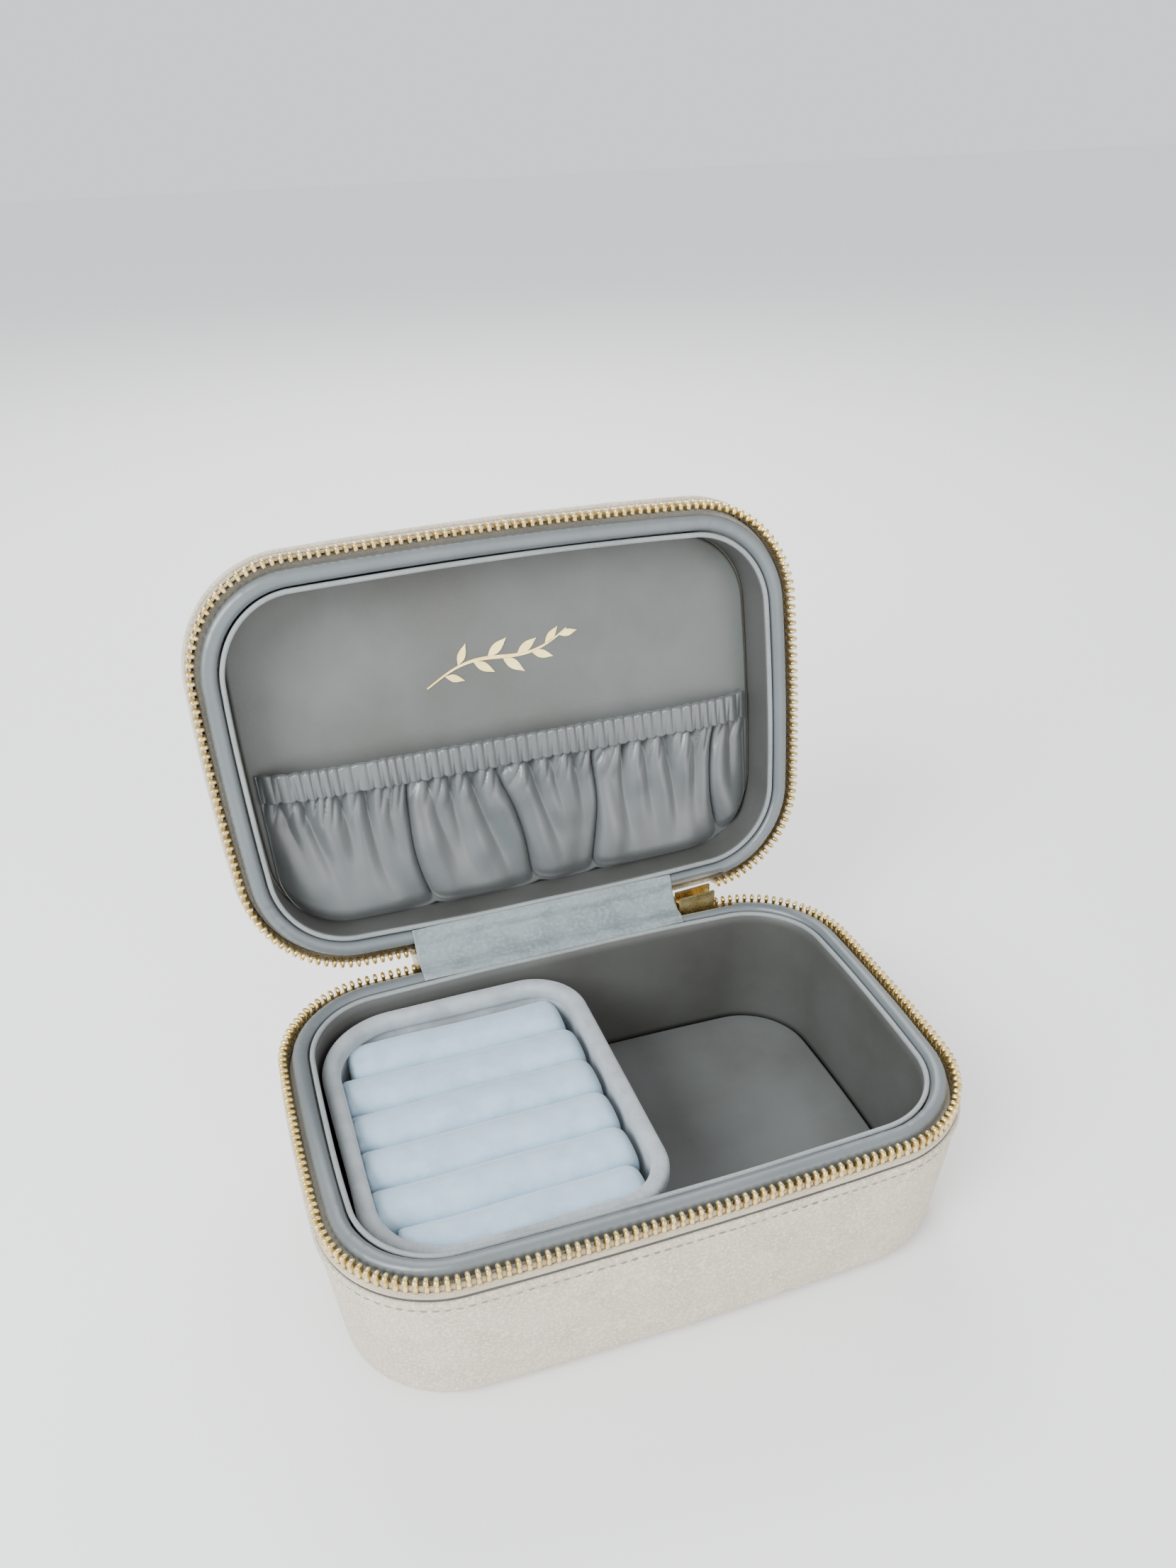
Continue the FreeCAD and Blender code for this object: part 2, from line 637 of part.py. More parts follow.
def slider_bail():
    """Bridge on the slider's outer plate, which holds the ring."""
    wire = "Sizes.bail_wire"
    right = f"({BAIL_LEFT} + Sizes.bail_length)"
    near = slider_outer_face()
    far = f"({near} + Sizes.bail_tall)"
    body = new_body("zip_slider_bail")
    sketch = new_sketch(body, "XY_Plane", f"Sizes.rim_height - {wire} / 2")
    polygon(sketch, [(BAIL_LEFT, near), (f"{BAIL_LEFT} + {wire}", near),
                     (f"{BAIL_LEFT} + {wire}", f"{far} - {wire}"),
                     (f"{right} - {wire}", f"{far} - {wire}"), (f"{right} - {wire}", near),
                     (right, near), (right, far), (BAIL_LEFT, far)])
    pad(body, sketch, wire)


def ring_height():
    """The ring hangs from the bail's bar, so its middle lies below the rim."""
    bar = "Sizes.bail_wire / 2 + Sizes.ring_wire + Sizes.ring_slack"
    return f"(Sizes.rim_height - Sizes.ring_radius + {bar})"


def pull_ring():
    """Wire ring round the bail's bar, square to it."""
    middle = Vec(number(PULL_MIDDLE), number(bail_bar_y()), number(ring_height()))
    ring = doc.addObject("Part::Torus", "zip_pull_ring")
    ring.Label = ring.Name
    ring.setExpression("Radius1", "Sizes.ring_radius")
    ring.setExpression("Radius2", "Sizes.ring_wire")
    ring.Placement = FreeCAD.Placement(middle, FreeCAD.Rotation(Vec(0, 1, 0), 90))
    bodies.append(ring)


def pull_tab():
    """Flat pull with a tapered upper end, which hangs from the ring by its hole."""
    hole_z = f"({ring_height()} - Sizes.ring_radius)"
    top = f"({hole_z} + Sizes.pull_hole_edge)"
    shoulder = f"({top} - Sizes.pull_shoulder)"
    foot = f"({top} - Sizes.pull_length)"
    half = "Sizes.pull_width / 2"
    quarter = "Sizes.pull_width / 4"
    body = new_body("zip_pull_tab")
    sketch = new_sketch(body, "XZ_Plane", f"0 - ({bail_bar_y()} + Sizes.pull_thickness / 2)")
    polygon(sketch, [(f"{PULL_MIDDLE} - {quarter}", top), (f"{PULL_MIDDLE} - {half}", shoulder),
                     (f"{PULL_MIDDLE} - {half}", foot), (f"{PULL_MIDDLE} + {half}", foot),
                     (f"{PULL_MIDDLE} + {half}", shoulder), (f"{PULL_MIDDLE} + {quarter}", top)])
    spot = Vec(number(PULL_MIDDLE), number(hole_z), 0)
    circle = Part.Circle(spot, Vec(0, 0, 1), size("pull_hole"))
    hole = sketch.addGeometry(circle, False)
    bind(sketch, Sketcher.Constraint("Radius", hole, size("pull_hole")), "Sizes.pull_hole")
    bind(sketch, Sketcher.Constraint("DistanceX", -1, 1, hole, 3, spot.x), PULL_MIDDLE)
    bind(sketch, Sketcher.Constraint("DistanceY", -1, 1, hole, 3, spot.y), hole_z)
    pad(body, sketch, "Sizes.pull_thickness")


def zip_puller():
    zip_slider()
    slider_bail()
    pull_ring()
    pull_tab()


def ring_tray():
    """Lift-out tray: a box with a rolled rim, a foam bed and a row of ring rolls."""
    roll_foot = f"({TRAY_TOP} - Sizes.tray_roll_tall)"
    shell = new_body("tray_shell")
    sketch = new_sketch(shell, "XY_Plane", TRAY_FLOOR)
    middle_inset = "(Sizes.tray_roll_width - Sizes.tray_wall) / 2"
    rounded_tray_plan(sketch, middle_inset)
    pad(shell, sketch, f"{roll_foot} - {TRAY_FLOOR}")
    cavity = new_sketch(shell, "XY_Plane", roll_foot)
    inside = f"({middle_inset} + Sizes.tray_wall)"
    rounded_tray_plan(cavity, inside)
    pocket(shell, cavity, f"{roll_foot} - {TRAY_FLOOR} - Sizes.tray_wall")

    bed = new_body("tray_foam_bed")
    sketch = new_sketch(bed, "XY_Plane", f"{TRAY_FLOOR} + Sizes.tray_wall + Sizes.layer_gap")
    bed_inset = f"({inside} + Sizes.layer_gap)"
    rounded_tray_plan(sketch, bed_inset)
    pad(bed, sketch, "Sizes.bed_height")

    rim = new_body("tray_rim_roll")
    sketch = new_sketch(rim, "XY_Plane", roll_foot)
    rounded_tray_plan(sketch, "0")
    rounded_tray_plan(sketch, "Sizes.tray_roll_width")
    ring = pad(rim, sketch, "Sizes.tray_roll_tall")
    fillet(rim, ring, "Sizes.tray_roll_round", level_at(number(TRAY_TOP)))
    ring_rolls()


def rounded_tray_plan(sketch, inset):
    """The tray's plan with round corners, larger on the side that fits the case's corners."""
    left = f"({TRAY_LEFT} + ({inset}))"
    right = f"(Sizes.tray_right - ({inset}))"
    deep = f"({TRAY_DEEP} - ({inset}))"
    big = f"(Sizes.tray_left_corner - ({inset}))"
    small = f"(Sizes.tray_right_corner - ({inset}))"
    rounded_box(sketch, left, right, f"(0 - {deep})", deep, (big, small, small, big))


def rounded_box(sketch, left, right, front, back, corners):
    """A box with its own radius at each corner: front left, front right, back right, back left."""
    turns = ((left, front, 1, 1, 180), (right, front, -1, 1, 270), (right, back, -1, -1, 0),
             (left, back, 1, -1, 90))
    first = sketch.GeometryCount
    centres = []
    for (x, y, sign_x, sign_y, angle), radius in zip(turns, corners):
        centre = (f"{x} {'+' if sign_x > 0 else '-'} {radius}",
                  f"{y} {'+' if sign_y > 0 else '-'} {radius}")
        centres.append((centre, radius))
        circle = Part.Circle(Vec(number(centre[0]), number(centre[1]), 0), Vec(0, 0, 1),
                             number(radius))
        start = math.radians(angle)
        sketch.addGeometry(Part.ArcOfCircle(circle, start, start + math.pi / 2), False)
    for step in range(4):
        here = sketch.Geometry[first + step].EndPoint
        there = sketch.Geometry[first + (step + 1) % 4].StartPoint
        sketch.addGeometry(Part.LineSegment(here, there), False)
    ties = []
    for step in range(4):
        line = first + 4 + step
        ties.append(Sketcher.Constraint("Tangent", first + step, 2, line, 1))
        ties.append(Sketcher.Constraint("Tangent", line, 2, first + (step + 1) % 4, 1))
    sketch.addConstraint(ties)
    for step, ((x, y), radius) in enumerate(centres):
        arc = first + step
        bind(sketch, Sketcher.Constraint("DistanceX", -1, 1, arc, 3, number(x)), x)
        bind(sketch, Sketcher.Constraint("DistanceY", -1, 1, arc, 3, number(y)), y)
        if step < 2:
            bind(sketch, Sketcher.Constraint("Radius", arc, number(radius)), radius)


def ring_rolls():
    """Foam rolls side by side across the tray; the outer two follow its round corners."""
    inset = "(Sizes.tray_roll_width + Sizes.ring_roll_gap)"
    left = f"({TRAY_LEFT} + {inset})"
    right = f"(Sizes.tray_right - {inset})"
    deep = f"({TRAY_DEEP} - {inset})"
    pitch = f"(2 * {deep} / Sizes.ring_roll_count)"
    low = f"({TRAY_FLOOR} + Sizes.tray_wall + 2 * Sizes.layer_gap + Sizes.bed_height)"
    high = "(Sizes.rim_height - Sizes.ring_roll_top_drop)"
    count = int(size("ring_roll_count"))
    for place in range(count):
        body = new_body(f"ring_roll_{place + 1}")
        sketch = new_sketch(body, "XY_Plane", low)
        front = f"({place} * {pitch} - {deep} + Sizes.ring_roll_gap / 2)"
        back = f"({place + 1} * {pitch} - {deep} - Sizes.ring_roll_gap / 2)"
        rounded_box(sketch, left, right, front, back, ["Sizes.ring_roll_corner"] * 4)
        block = pad(body, sketch, f"{high} - {low}")
        fillet(body, block, "Sizes.ring_roll_round", level_at(number(high)))
        if place in (0, count - 1):
            trim = new_sketch(body, "XY_Plane", high)
            rounded_tray_plan(trim, inset)
            rounded_tray_plan(trim, f"({inset} - Sizes.tray_left_corner)")
            pocket(body, trim, f"{high} - {low}")


def check_and_write():
    faults = [item.Name for item in doc.Objects
              if "Invalid" in item.State or "Error" in item.State]
    for body in bodies:
        if body.Shape.isNull() or not body.Shape.isValid() or not body.Shape.Solids:
            faults.append(body.Label)
    if faults:
        raise RuntimeError(f"failed objects: {faults}")
    os.makedirs("parts", exist_ok=True)
    for body in bodies:
        body.Shape.exportStep(f"parts/{body.Label}.step")
        box = body.Shape.optimalBoundingBox()
        print(f"{body.Label:22s} {len(body.Shape.Solids):4d} solids {body.Shape.Volume:10.1f} mm3",
              f"{box.XLength:7.1f} {box.YLength:7.1f} {box.ZLength:7.1f}")


base_half()
lid_half()
zip_puller()
ring_tray()
doc.recompute()
check_and_write()
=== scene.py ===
import json
import math

import bmesh
import bpy
import numpy as np
from mathutils import Matrix, Vector


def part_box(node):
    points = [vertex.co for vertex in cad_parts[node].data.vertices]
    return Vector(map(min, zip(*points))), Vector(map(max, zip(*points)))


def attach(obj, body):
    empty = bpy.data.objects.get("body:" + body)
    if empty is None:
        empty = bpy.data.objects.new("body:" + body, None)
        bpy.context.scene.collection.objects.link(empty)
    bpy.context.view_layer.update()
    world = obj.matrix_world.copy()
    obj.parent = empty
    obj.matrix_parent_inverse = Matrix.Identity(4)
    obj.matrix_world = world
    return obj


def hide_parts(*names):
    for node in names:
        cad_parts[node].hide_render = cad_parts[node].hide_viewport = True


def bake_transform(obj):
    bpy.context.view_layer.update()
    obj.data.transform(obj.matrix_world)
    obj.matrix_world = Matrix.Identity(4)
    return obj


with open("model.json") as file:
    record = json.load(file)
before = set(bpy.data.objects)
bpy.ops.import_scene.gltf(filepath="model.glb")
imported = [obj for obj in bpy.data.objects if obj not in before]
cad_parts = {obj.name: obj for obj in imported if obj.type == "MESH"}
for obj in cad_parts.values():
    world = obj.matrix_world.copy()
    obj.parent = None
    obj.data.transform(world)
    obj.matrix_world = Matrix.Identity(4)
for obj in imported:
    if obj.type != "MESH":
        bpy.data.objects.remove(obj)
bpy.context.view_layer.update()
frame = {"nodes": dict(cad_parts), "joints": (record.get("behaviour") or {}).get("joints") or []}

mm = 0.001

# Every piece of a half is built in rim coordinates: x to the right, y to the back, and z up from
# the closed rim. A drop is a distance from the rim, down into the base or up into the lid.
hinge = next(joint for joint in frame["joints"] if joint["name"] == "lid_hinge")
hingeY = hinge["pos_m"][1]
rimZ = hinge["pos_m"][2]
lidAngle = math.radians(-hinge["range_deg"][0])
toBase = Matrix.Translation((0, 0, rimZ))
toLid = (Matrix.Translation((0, hingeY, rimZ)) @ Matrix.Rotation(-lidAngle, 4, "X")
         @ Matrix.Translation((0, -hingeY, 0)))
halves = {
    "base": {"sign": -1, "place": toBase, "deep": rimZ},
    "lid": {"sign": 1, "place": toLid, "deep": 20.5 * mm},
}

tapeLow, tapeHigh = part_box("base_zip_tape")
zipLine = {
    "halfWide": (tapeHigh.x - tapeLow.x) / 2 - 0.3 * mm,
    "halfDeep": -tapeLow.y - 0.3 * mm,
    "corner": 31 * mm,
    "frontBow": 1.5,
    "sideBow": 0.7,
    "hingeEnd": 42 * mm,        # the tape and both rows stop here on the left of the hinge
    "baseRowEnd": 45.2 * mm,    # right end of the base's row, inside the slider
    "lidRowEnd": 59.9 * mm,
    "pitch": 2.42 * mm,
}


def say(stage):
    print(f"[case] {stage}", flush=True)


# Routes

def arcRoute(arcs):
    # arcs: centre x, centre y, radius, start angle, end angle; anticlockwise, tangent, closed
    lengths = [radius * (end - start) for _, _, radius, start, end in arcs]
    return {"arcs": arcs, "ends": np.cumsum(lengths), "length": sum(lengths)}


def alongRoute(route, distance):
    # places and outward normals at distances along a route, as arrays
    distance = np.asarray(distance, float) % route["length"]
    place = np.zeros(distance.shape + (2,))
    normal = np.zeros(distance.shape + (2,))
    begin = 0.0
    for (x, y, radius, start, _), finish in zip(route["arcs"], route["ends"]):
        inside = (distance >= begin) & (distance <= finish)
        angle = start + (distance[inside] - begin) / radius
        normal[inside] = np.stack((np.cos(angle), np.sin(angle)), -1)
        place[inside] = np.array((x, y)) + radius * normal[inside]
        begin = finish
    return place, normal


def zipRoute():
    # eight tangent arcs, anticlockwise from the middle of the back
    corner, sideBow, frontBow = zipLine["corner"], zipLine["sideBow"], zipLine["frontBow"]
    sideX = zipLine["halfWide"] - sideBow
    frontY = zipLine["halfDeep"] - frontBow
    span = math.hypot(sideX, frontY)
    nearSide, nearFront = sideBow - corner, frontBow - corner
    along = (nearSide ** 2 - nearFront ** 2 + span ** 2) / (2 * span)
    across = math.sqrt(nearSide ** 2 - along ** 2)
    cornerX = sideX - (along * sideX + across * frontY) / span
    cornerY = (along * frontY - across * sideX) / span
    low = math.atan2(cornerY, cornerX - sideX)
    high = math.atan2(cornerY - frontY, cornerX)
    turn = math.pi
    return arcRoute([
        (0, frontY, frontBow, turn / 2, turn - high),
        (-cornerX, cornerY, corner, turn - high, turn - low),
        (-sideX, 0, sideBow, turn - low, turn + low),
        (-cornerX, -cornerY, corner, turn + low, turn + high),
        (0, -frontY, frontBow, turn + high, 2 * turn - high),
        (cornerX, -cornerY, corner, 2 * turn - high, 2 * turn - low),
        (sideX, 0, sideBow, 2 * turn - low, 2 * turn + low),
        (cornerX, cornerY, corner, 2 * turn + low, 2 * turn + high),
        (0, frontY, frontBow, high, turn / 2),
    ])


caseRoute = zipRoute()
leftEnd = zipLine["frontBow"] * math.asin(zipLine["hingeEnd"] / zipLine["frontBow"])


def rightEnd(x):
    return caseRoute["length"] - zipLine["frontBow"] * math.asin(x / zipLine["frontBow"])


def boxRoute(left, right, front, back, corners):
    # rounded box with its own corner radii: back left, front left, front right, back right
    spots = ((left, back, 1, -1), (left, front, 1, 1), (right, front, -1, 1),
             (right, back, -1, -1))
    flat = 1000.0       # a straight side is an arc of this radius
    arcs = []
    sides = ((-1, 0), (0, -1), (1, 0), (0, 1))
    for index, ((x, y, signX, signY), radius) in enumerate(zip(spots, corners)):
        start = math.pi / 2 * (index + 1)
        arcs.append((x + signX * radius, y + signY * radius, radius, start, start + math.pi / 2))
        after = corners[(index + 1) % 4]
        length = (back - front if index % 2 == 0 else right - left) - radius - after
        outward = sides[index]
        middleX = (left if outward[0] < 0 else right) if outward[0] else (
            left + right) / 2 + (radius - after) / 2 * (1 if index == 1 else -1)
        middleY = (front if outward[1] < 0 else back) if outward[1] else (
            front + back) / 2 + (after - radius) / 2 * (1 if index == 0 else -1)
        half = length / 2 / flat
        angle = math.pi / 2 * (index + 2)
        arcs.append((middleX - outward[0] * flat, middleY - outward[1] * flat, flat,
                     angle - half, angle + half))
    return arcRoute(arcs)


# Noise on arrays

def smoothNoise(u, v, cell, seed, around=None):
    # value noise from -1 to 1; around is the length after which u repeats
    grid = np.random.default_rng(seed).uniform(-1, 1, (512, 512))
    count = max(1, round(around / cell)) if around else 512
    u = np.asarray(u) * (count / around if around else 1 / cell)
    v = np.asarray(v) / cell
    iu, iv = np.floor(u).astype(int), np.floor(v).astype(int)
    fu, fv = u - iu, v - iv
    fu, fv = fu * fu * (3 - 2 * fu), fv * fv * (3 - 2 * fv)
    a, b = iu % count, (iu + 1) % count
    c, d = iv % 512, (iv + 1) % 512
    low = grid[a, c] * (1 - fu) + grid[b, c] * fu
    high = grid[a, d] * (1 - fu) + grid[b, d] * fu
    return low * (1 - fv) + high * fv


def ripple(u, v, cell, seed):
    # noise that closes on itself round the case, with its cell in millimetres
    return smoothNoise(u, v, cell * mm, seed, caseRoute["length"])


def smoothStep(low, high, value):
    t = np.clip((value - low) / (high - low), 0, 1)
    return t * t * (3 - 2 * t)


# Meshes

def addObject(name, data):
    added = bpy.data.objects.new(name, data)
    bpy.context.scene.collection.objects.link(added)
    return added


def shade(mesh, smooth=True):
    mesh.polygons.foreach_set("use_smooth", [smooth] * len(mesh.polygons))


def meshPiece(name, points, faces, uvs, material):
    # uvs may be None on small metal and thread pieces, whose finish doesn't read them
    mesh = bpy.data.meshes.new(name)
    mesh.from_pydata([tuple(point) for point in points], [], faces)
    layer = mesh.uv_layers.new(name="thread")
    if uvs is not None:
        layer.data.foreach_set("uv", np.asarray(uvs, float).ravel())
    else:
        layer.data.foreach_set("uv", [0.0] * (2 * len(layer.data)))
    shade(mesh)
    mesh.materials.append(material)
    return addObject(name, mesh)


def outwardFaces(piece):
    work = bmesh.new()
    work.from_mesh(piece.data)
    bmesh.ops.recalc_face_normals(work, faces=work.faces)
    work.to_mesh(piece.data)
    work.free()
    return piece


def loftPiece(name, rings, material):
    # rings with the same number of points each, joined in turn and closed at both ends
    sides, last = len(rings[0]), len(rings) - 1
    faces = []
    for ring in range(last):
        for side in range(sides):
            after = (side + 1) % sides
            faces.append((ring * sides + side, ring * sides + after,
                          (ring + 1) * sides + after, (ring + 1) * sides + side))
    faces += [tuple(end * sides + side for side in range(sides)) for end in (0, last)]
    return outwardFaces(meshPiece(name, sum(rings, []), faces, None, material))


def gridPiece(name, points, u, v, material, closeU=False, closeV=False, caps="", planar=()):
    # points[i, j] over stations i and profile j; u[i] and v[j] are lengths in metres.
    # caps "ends" closes both ends of a strip, "poles" closes both ends of the profile.
    rows, columns = points.shape[:2]
    spots = list(points.reshape(-1, 3))
    alongU, alongV = (np.append(run, run[-1] + run[1] - run[0]) for run in (u, v))
    faces, uvs = [], []

    def add(face, places=None):
        faces.append(face)
        uvs.extend(places or [tuple(spots[corner][:2]) for corner in face])
    for i in range(rows if closeU else rows - 1):
        nextI = (i + 1) % rows
        u0, u1 = alongU[i], alongU[i + 1]
        for j in range(columns if closeV else columns - 1):
            nextJ = (j + 1) % columns
            v0, v1 = alongV[j], alongV[j + 1]
            add((i * columns + j, nextI * columns + j, nextI * columns + nextJ,
                 i * columns + nextJ),
                None if j in planar else [(u0, v0), (u1, v0), (u1, v1), (u0, v1)])
    if caps == "ends":
        for i in (0, rows - 1):
            add(tuple(range(i * columns, (i + 1) * columns)), [(u[i], side) for side in v])
    if caps == "poles":
        for j in (0, columns - 1):
            spots.append(points[:, j].mean(axis=0))
            for i in range(rows):
                add((i * columns + j, ((i + 1) % rows) * columns + j, len(spots) - 1))
    return outwardFaces(meshPiece(name, spots, faces, uvs, material))


def replaceMesh(piece, mesh, material):
    mesh.materials.clear()
    mesh.materials.append(material)
    shade(mesh)
    piece.data = mesh


def evaluatedMesh(piece):
    bpy.context.view_layer.update()
    shown = piece.evaluated_get(bpy.context.evaluated_depsgraph_get())
    mesh = bpy.data.meshes.new_from_object(shown)
    piece.modifiers.clear()
    return mesh


def thicken(piece, thick, offset):
    modifier = piece.modifiers.new("thickness", "SOLIDIFY")
    modifier.thickness = thick
    modifier.offset = offset


def runLength(profile):
    steps = np.hypot(*np.diff(np.asarray(profile), axis=0).T)
    return np.concatenate(([0], np.cumsum(steps)))


def softLoop(corners, radius, steps=5):
    # a closed outline with each corner rounded; corners are (inset, drop) pairs
    outline = []
    count = len(corners)
    for index, corner in enumerate(corners):
        here = np.array(corner)
        before = np.array(corners[index - 1]) - here
        after = np.array(corners[(index + 1) % count]) - here
        reach = min(radius, 0.49 * np.linalg.norm(before), 0.49 * np.linalg.norm(after))
        start = here + before / np.linalg.norm(before) * reach
        finish = here + after / np.linalg.norm(after) * reach
        for step in range(steps + 1):
            t = step / steps
            outline.append((1 - t) ** 2 * start + 2 * t * (1 - t) * here + t * t * finish)
    return np.array(outline)


def stations(length, step):
    count = round(length / step)
    return np.arange(count) * (length / count)


def spread(u, profile):
    # the insets and the drops of a profile, repeated at every station
    return [np.tile(profile[:, axis], (len(u), 1)) for axis in (0, 1)]


def layOut(route, u, inset, drop):
    # rim coordinates of places inset from a route; drop is signed here
    place, normal = alongRoute(route, u)
    points = np.zeros(inset.shape + (3,))
    points[..., :2] = place[:, None] - normal[:, None] * inset[..., None]
    points[..., 2] = drop
    return points


def closeFlat(points, scales, centre=(0, 0), crown=0.0):
    # shrinking rings beyond both ends of the profile, which fill a flat side
    def rings(edge, order):
        for scale in order:
            ring = edge.copy()
            ring[:, :2] = centre + (ring[:, :2] - centre) * scale
            ring[:, 2] += crown * (1 - scale ** 2)
            yield ring[:, None]
    return np.concatenate([*rings(points[:, 0], scales), points,
                           *rings(points[:, -1], scales[::-1])], axis=1)


def sweep(name, half, profile, look, route=None, step=0.8 * mm, span=None, shape=None):
    # carries a closed profile of (inset, drop) pairs along a route; shape moves it on the way
    route = route or caseRoute
    if span:
        u = np.linspace(*span, round((span[1] - span[0]) / step))
    else:
        u = stations(route["length"], step)
    profile = np.asarray(profile, float)
    v = runLength(profile)
    inset, drop = spread(u, profile)
    if shape:
        inset, drop = shape(u[:, None], v[None, :], inset, drop)
    points = layOut(route, u, inset, halves[half]["sign"] * drop)
    piece = gridPiece(name, points, u, v, looks[look], not span, True, "ends" if span else "")
    piece.data.transform(halves[half]["place"])
    return piece


def settle(piece, body, slot, *nodes, fill=None):
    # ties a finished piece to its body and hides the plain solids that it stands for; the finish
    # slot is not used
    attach(piece, body)
    if nodes:
        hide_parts(*nodes)
    return piece


# Shader groups

def newTree(name, inputs, outputs, kind="Shader"):
    # inputs and outputs: a socket's name -> its type
    tree = bpy.data.node_groups.new(name, f"{kind}NodeTree")
    for side, sockets in (("INPUT", inputs), ("OUTPUT", outputs)):
        for title, socket in sockets.items():
            tree.interface.new_socket(title, in_out=side, socket_type=f"NodeSocket{socket}")
    given, wanted = tree.nodes.new("NodeGroupInput"), tree.nodes.new("NodeGroupOutput")
    return tree, given.outputs, wanted.inputs


def addNode(tree, kind, links=None, **settings):
    # links: input name or number -> a socket to join or a value to set
    node = tree.nodes.new(kind)
    for key, value in settings.items():
        setattr(node, key, value)
    for key, value in (links or {}).items():
        socket = node.inputs[key]
        if isinstance(value, bpy.types.NodeSocket):
            tree.links.new(value, socket)
        else:
            socket.default_value = value
    return node


def calc(tree, operation, *values):
    return addNode(tree, "ShaderNodeMath", dict(enumerate(values)),
                   operation=operation).outputs[0]


def rerange(tree, value, low=0.0, high=1.0, toLow=0.0, toHigh=1.0):
    return addNode(tree, "ShaderNodeMapRange",
                   {"Value": value, "From Min": low, "From Max": high, "To Min": toLow,
                    "To Max": toHigh}).outputs[0]


def mixed(tree, share, low, high):
    return addNode(tree, "ShaderNodeMix", {0: share, 6: low, 7: high},
                   data_type="RGBA").outputs[2]


def mottleGroup():
    # two colours blended by soft noise, with a finer fleck on top
    tree, given, wanted = newTree(
        "mottle",
        {"Vector": "Vector", "Light": "Color", "Dark": "Color", "Fleck": "Color",
         "Size": "Float", "Fleck Size": "Float", "Fleck Amount": "Float"},
        {"Color": "Color", "Value": "Float"})

    def noise(size, detail, roughness):
        return addNode(tree, "ShaderNodeTexNoise",
                       {"Vector": given["Vector"], "Detail": detail, "Roughness": roughness,
                        "Scale": calc(tree, "DIVIDE", 1.0, given[size])}).outputs["Fac"]
    fine = noise("Fleck Size", 3.0, 0.7)
    broad = rerange(tree, noise("Size", 4.0, 0.55), 0.35, 0.65)
    fleck = rerange(tree, fine, 0.47, 0.63, 0.0, given["Fleck Amount"])
    base = mixed(tree, broad, given["Dark"], given["Light"])
    tree.links.new(mixed(tree, fleck, base, given["Fleck"]), wanted["Color"])
    tree.links.new(fine, wanted["Value"])
    return tree


def weaveGroup():
    # plain weave over a piece's own UV in metres: raised threads one pitch apart
    tree, given, wanted = newTree(
        "weave", {"Vector": "Vector", "Pitch": "Float", "Slant": "Float"},
        {"Height": "Float"})
    split = addNode(tree, "ShaderNodeSeparateXYZ", {0: given["Vector"]}).outputs
    lean = calc(tree, "MULTIPLY_ADD", split["Y"], given["Slant"], split["X"])
    waves = []
    for side in (lean, split["Y"]):
        turns = calc(tree, "DIVIDE", side, given["Pitch"])
        waves.append(calc(tree, "SINE", calc(tree, "MULTIPLY", turns, math.tau)))
    over = calc(tree, "MULTIPLY", *waves)
    tree.links.new(rerange(tree, over, -1.0), wanted["Height"])
    return tree


def grainGroup():
    # small rounded pebbles with fine creases between them
    tree, given, wanted = newTree("grain", {"Vector": "Vector", "Size": "Float"},
                                  {"Height": "Float", "Cloud": "Float"})
    pebble = addNode(tree, "ShaderNodeTexVoronoi",
                     {"Vector": given["Vector"], "Randomness": 0.9,
                      "Scale": calc(tree, "DIVIDE", 1.0, given["Size"])},
                     feature="SMOOTH_F1").outputs["Distance"]
    cloud = addNode(tree, "ShaderNodeTexNoise",
                    {"Vector": given["Vector"], "Scale": 90.0, "Detail": 5.0})
    tree.links.new(calc(tree, "SUBTRACT", 1.0, pebble), wanted["Height"])
    tree.links.new(cloud.outputs["Fac"], wanted["Cloud"])
    return tree


groups = {"mottle": mottleGroup(), "weave": weaveGroup(), "grain": grainGroup()}


# Materials

def newMaterial(name, **surface):
    material = bpy.data.materials.new(name)
    material.use_nodes = True
    shader = material.node_tree.nodes["Principled BSDF"].inputs
    for title, value in surface.items():
        shader[title.replace("_", " ")].default_value = value
    return material, material.node_tree, shader


def colour(*screen):
    # from screen values of 0 to 255 to linear
    shares = [value / 255 for value in screen]
    return (*(share / 12.92 if share <= 0.04045 else ((share + 0.055) / 1.055) ** 2.4
              for share in shares), 1)


def mottled(name, light, dark, fleck, size, fleckSize, amount, **surface):
    material, tree, shader = newMaterial(name, **surface)
    place = addNode(tree, "ShaderNodeTexCoord").outputs["Object"]
    tone = addNode(tree, "ShaderNodeGroup",
                   {"Vector": place, "Light": colour(*light), "Dark": colour(*dark),
                    "Fleck": colour(*fleck), "Size": size, "Fleck Size": fleckSize,
                    "Fleck Amount": amount}, node_tree=groups["mottle"]).outputs
    return material, tree, shader, place, tone


def addBump(tree, shader, height, distance):
    # a second bump lies over the first
    bump = addNode(tree, "ShaderNodeBump", {"Height": height, "Distance": distance})
    for link in list(shader["Normal"].links):
        tree.links.new(link.from_socket, bump.inputs["Normal"])
    tree.links.new(bump.outputs["Normal"], shader["Normal"])


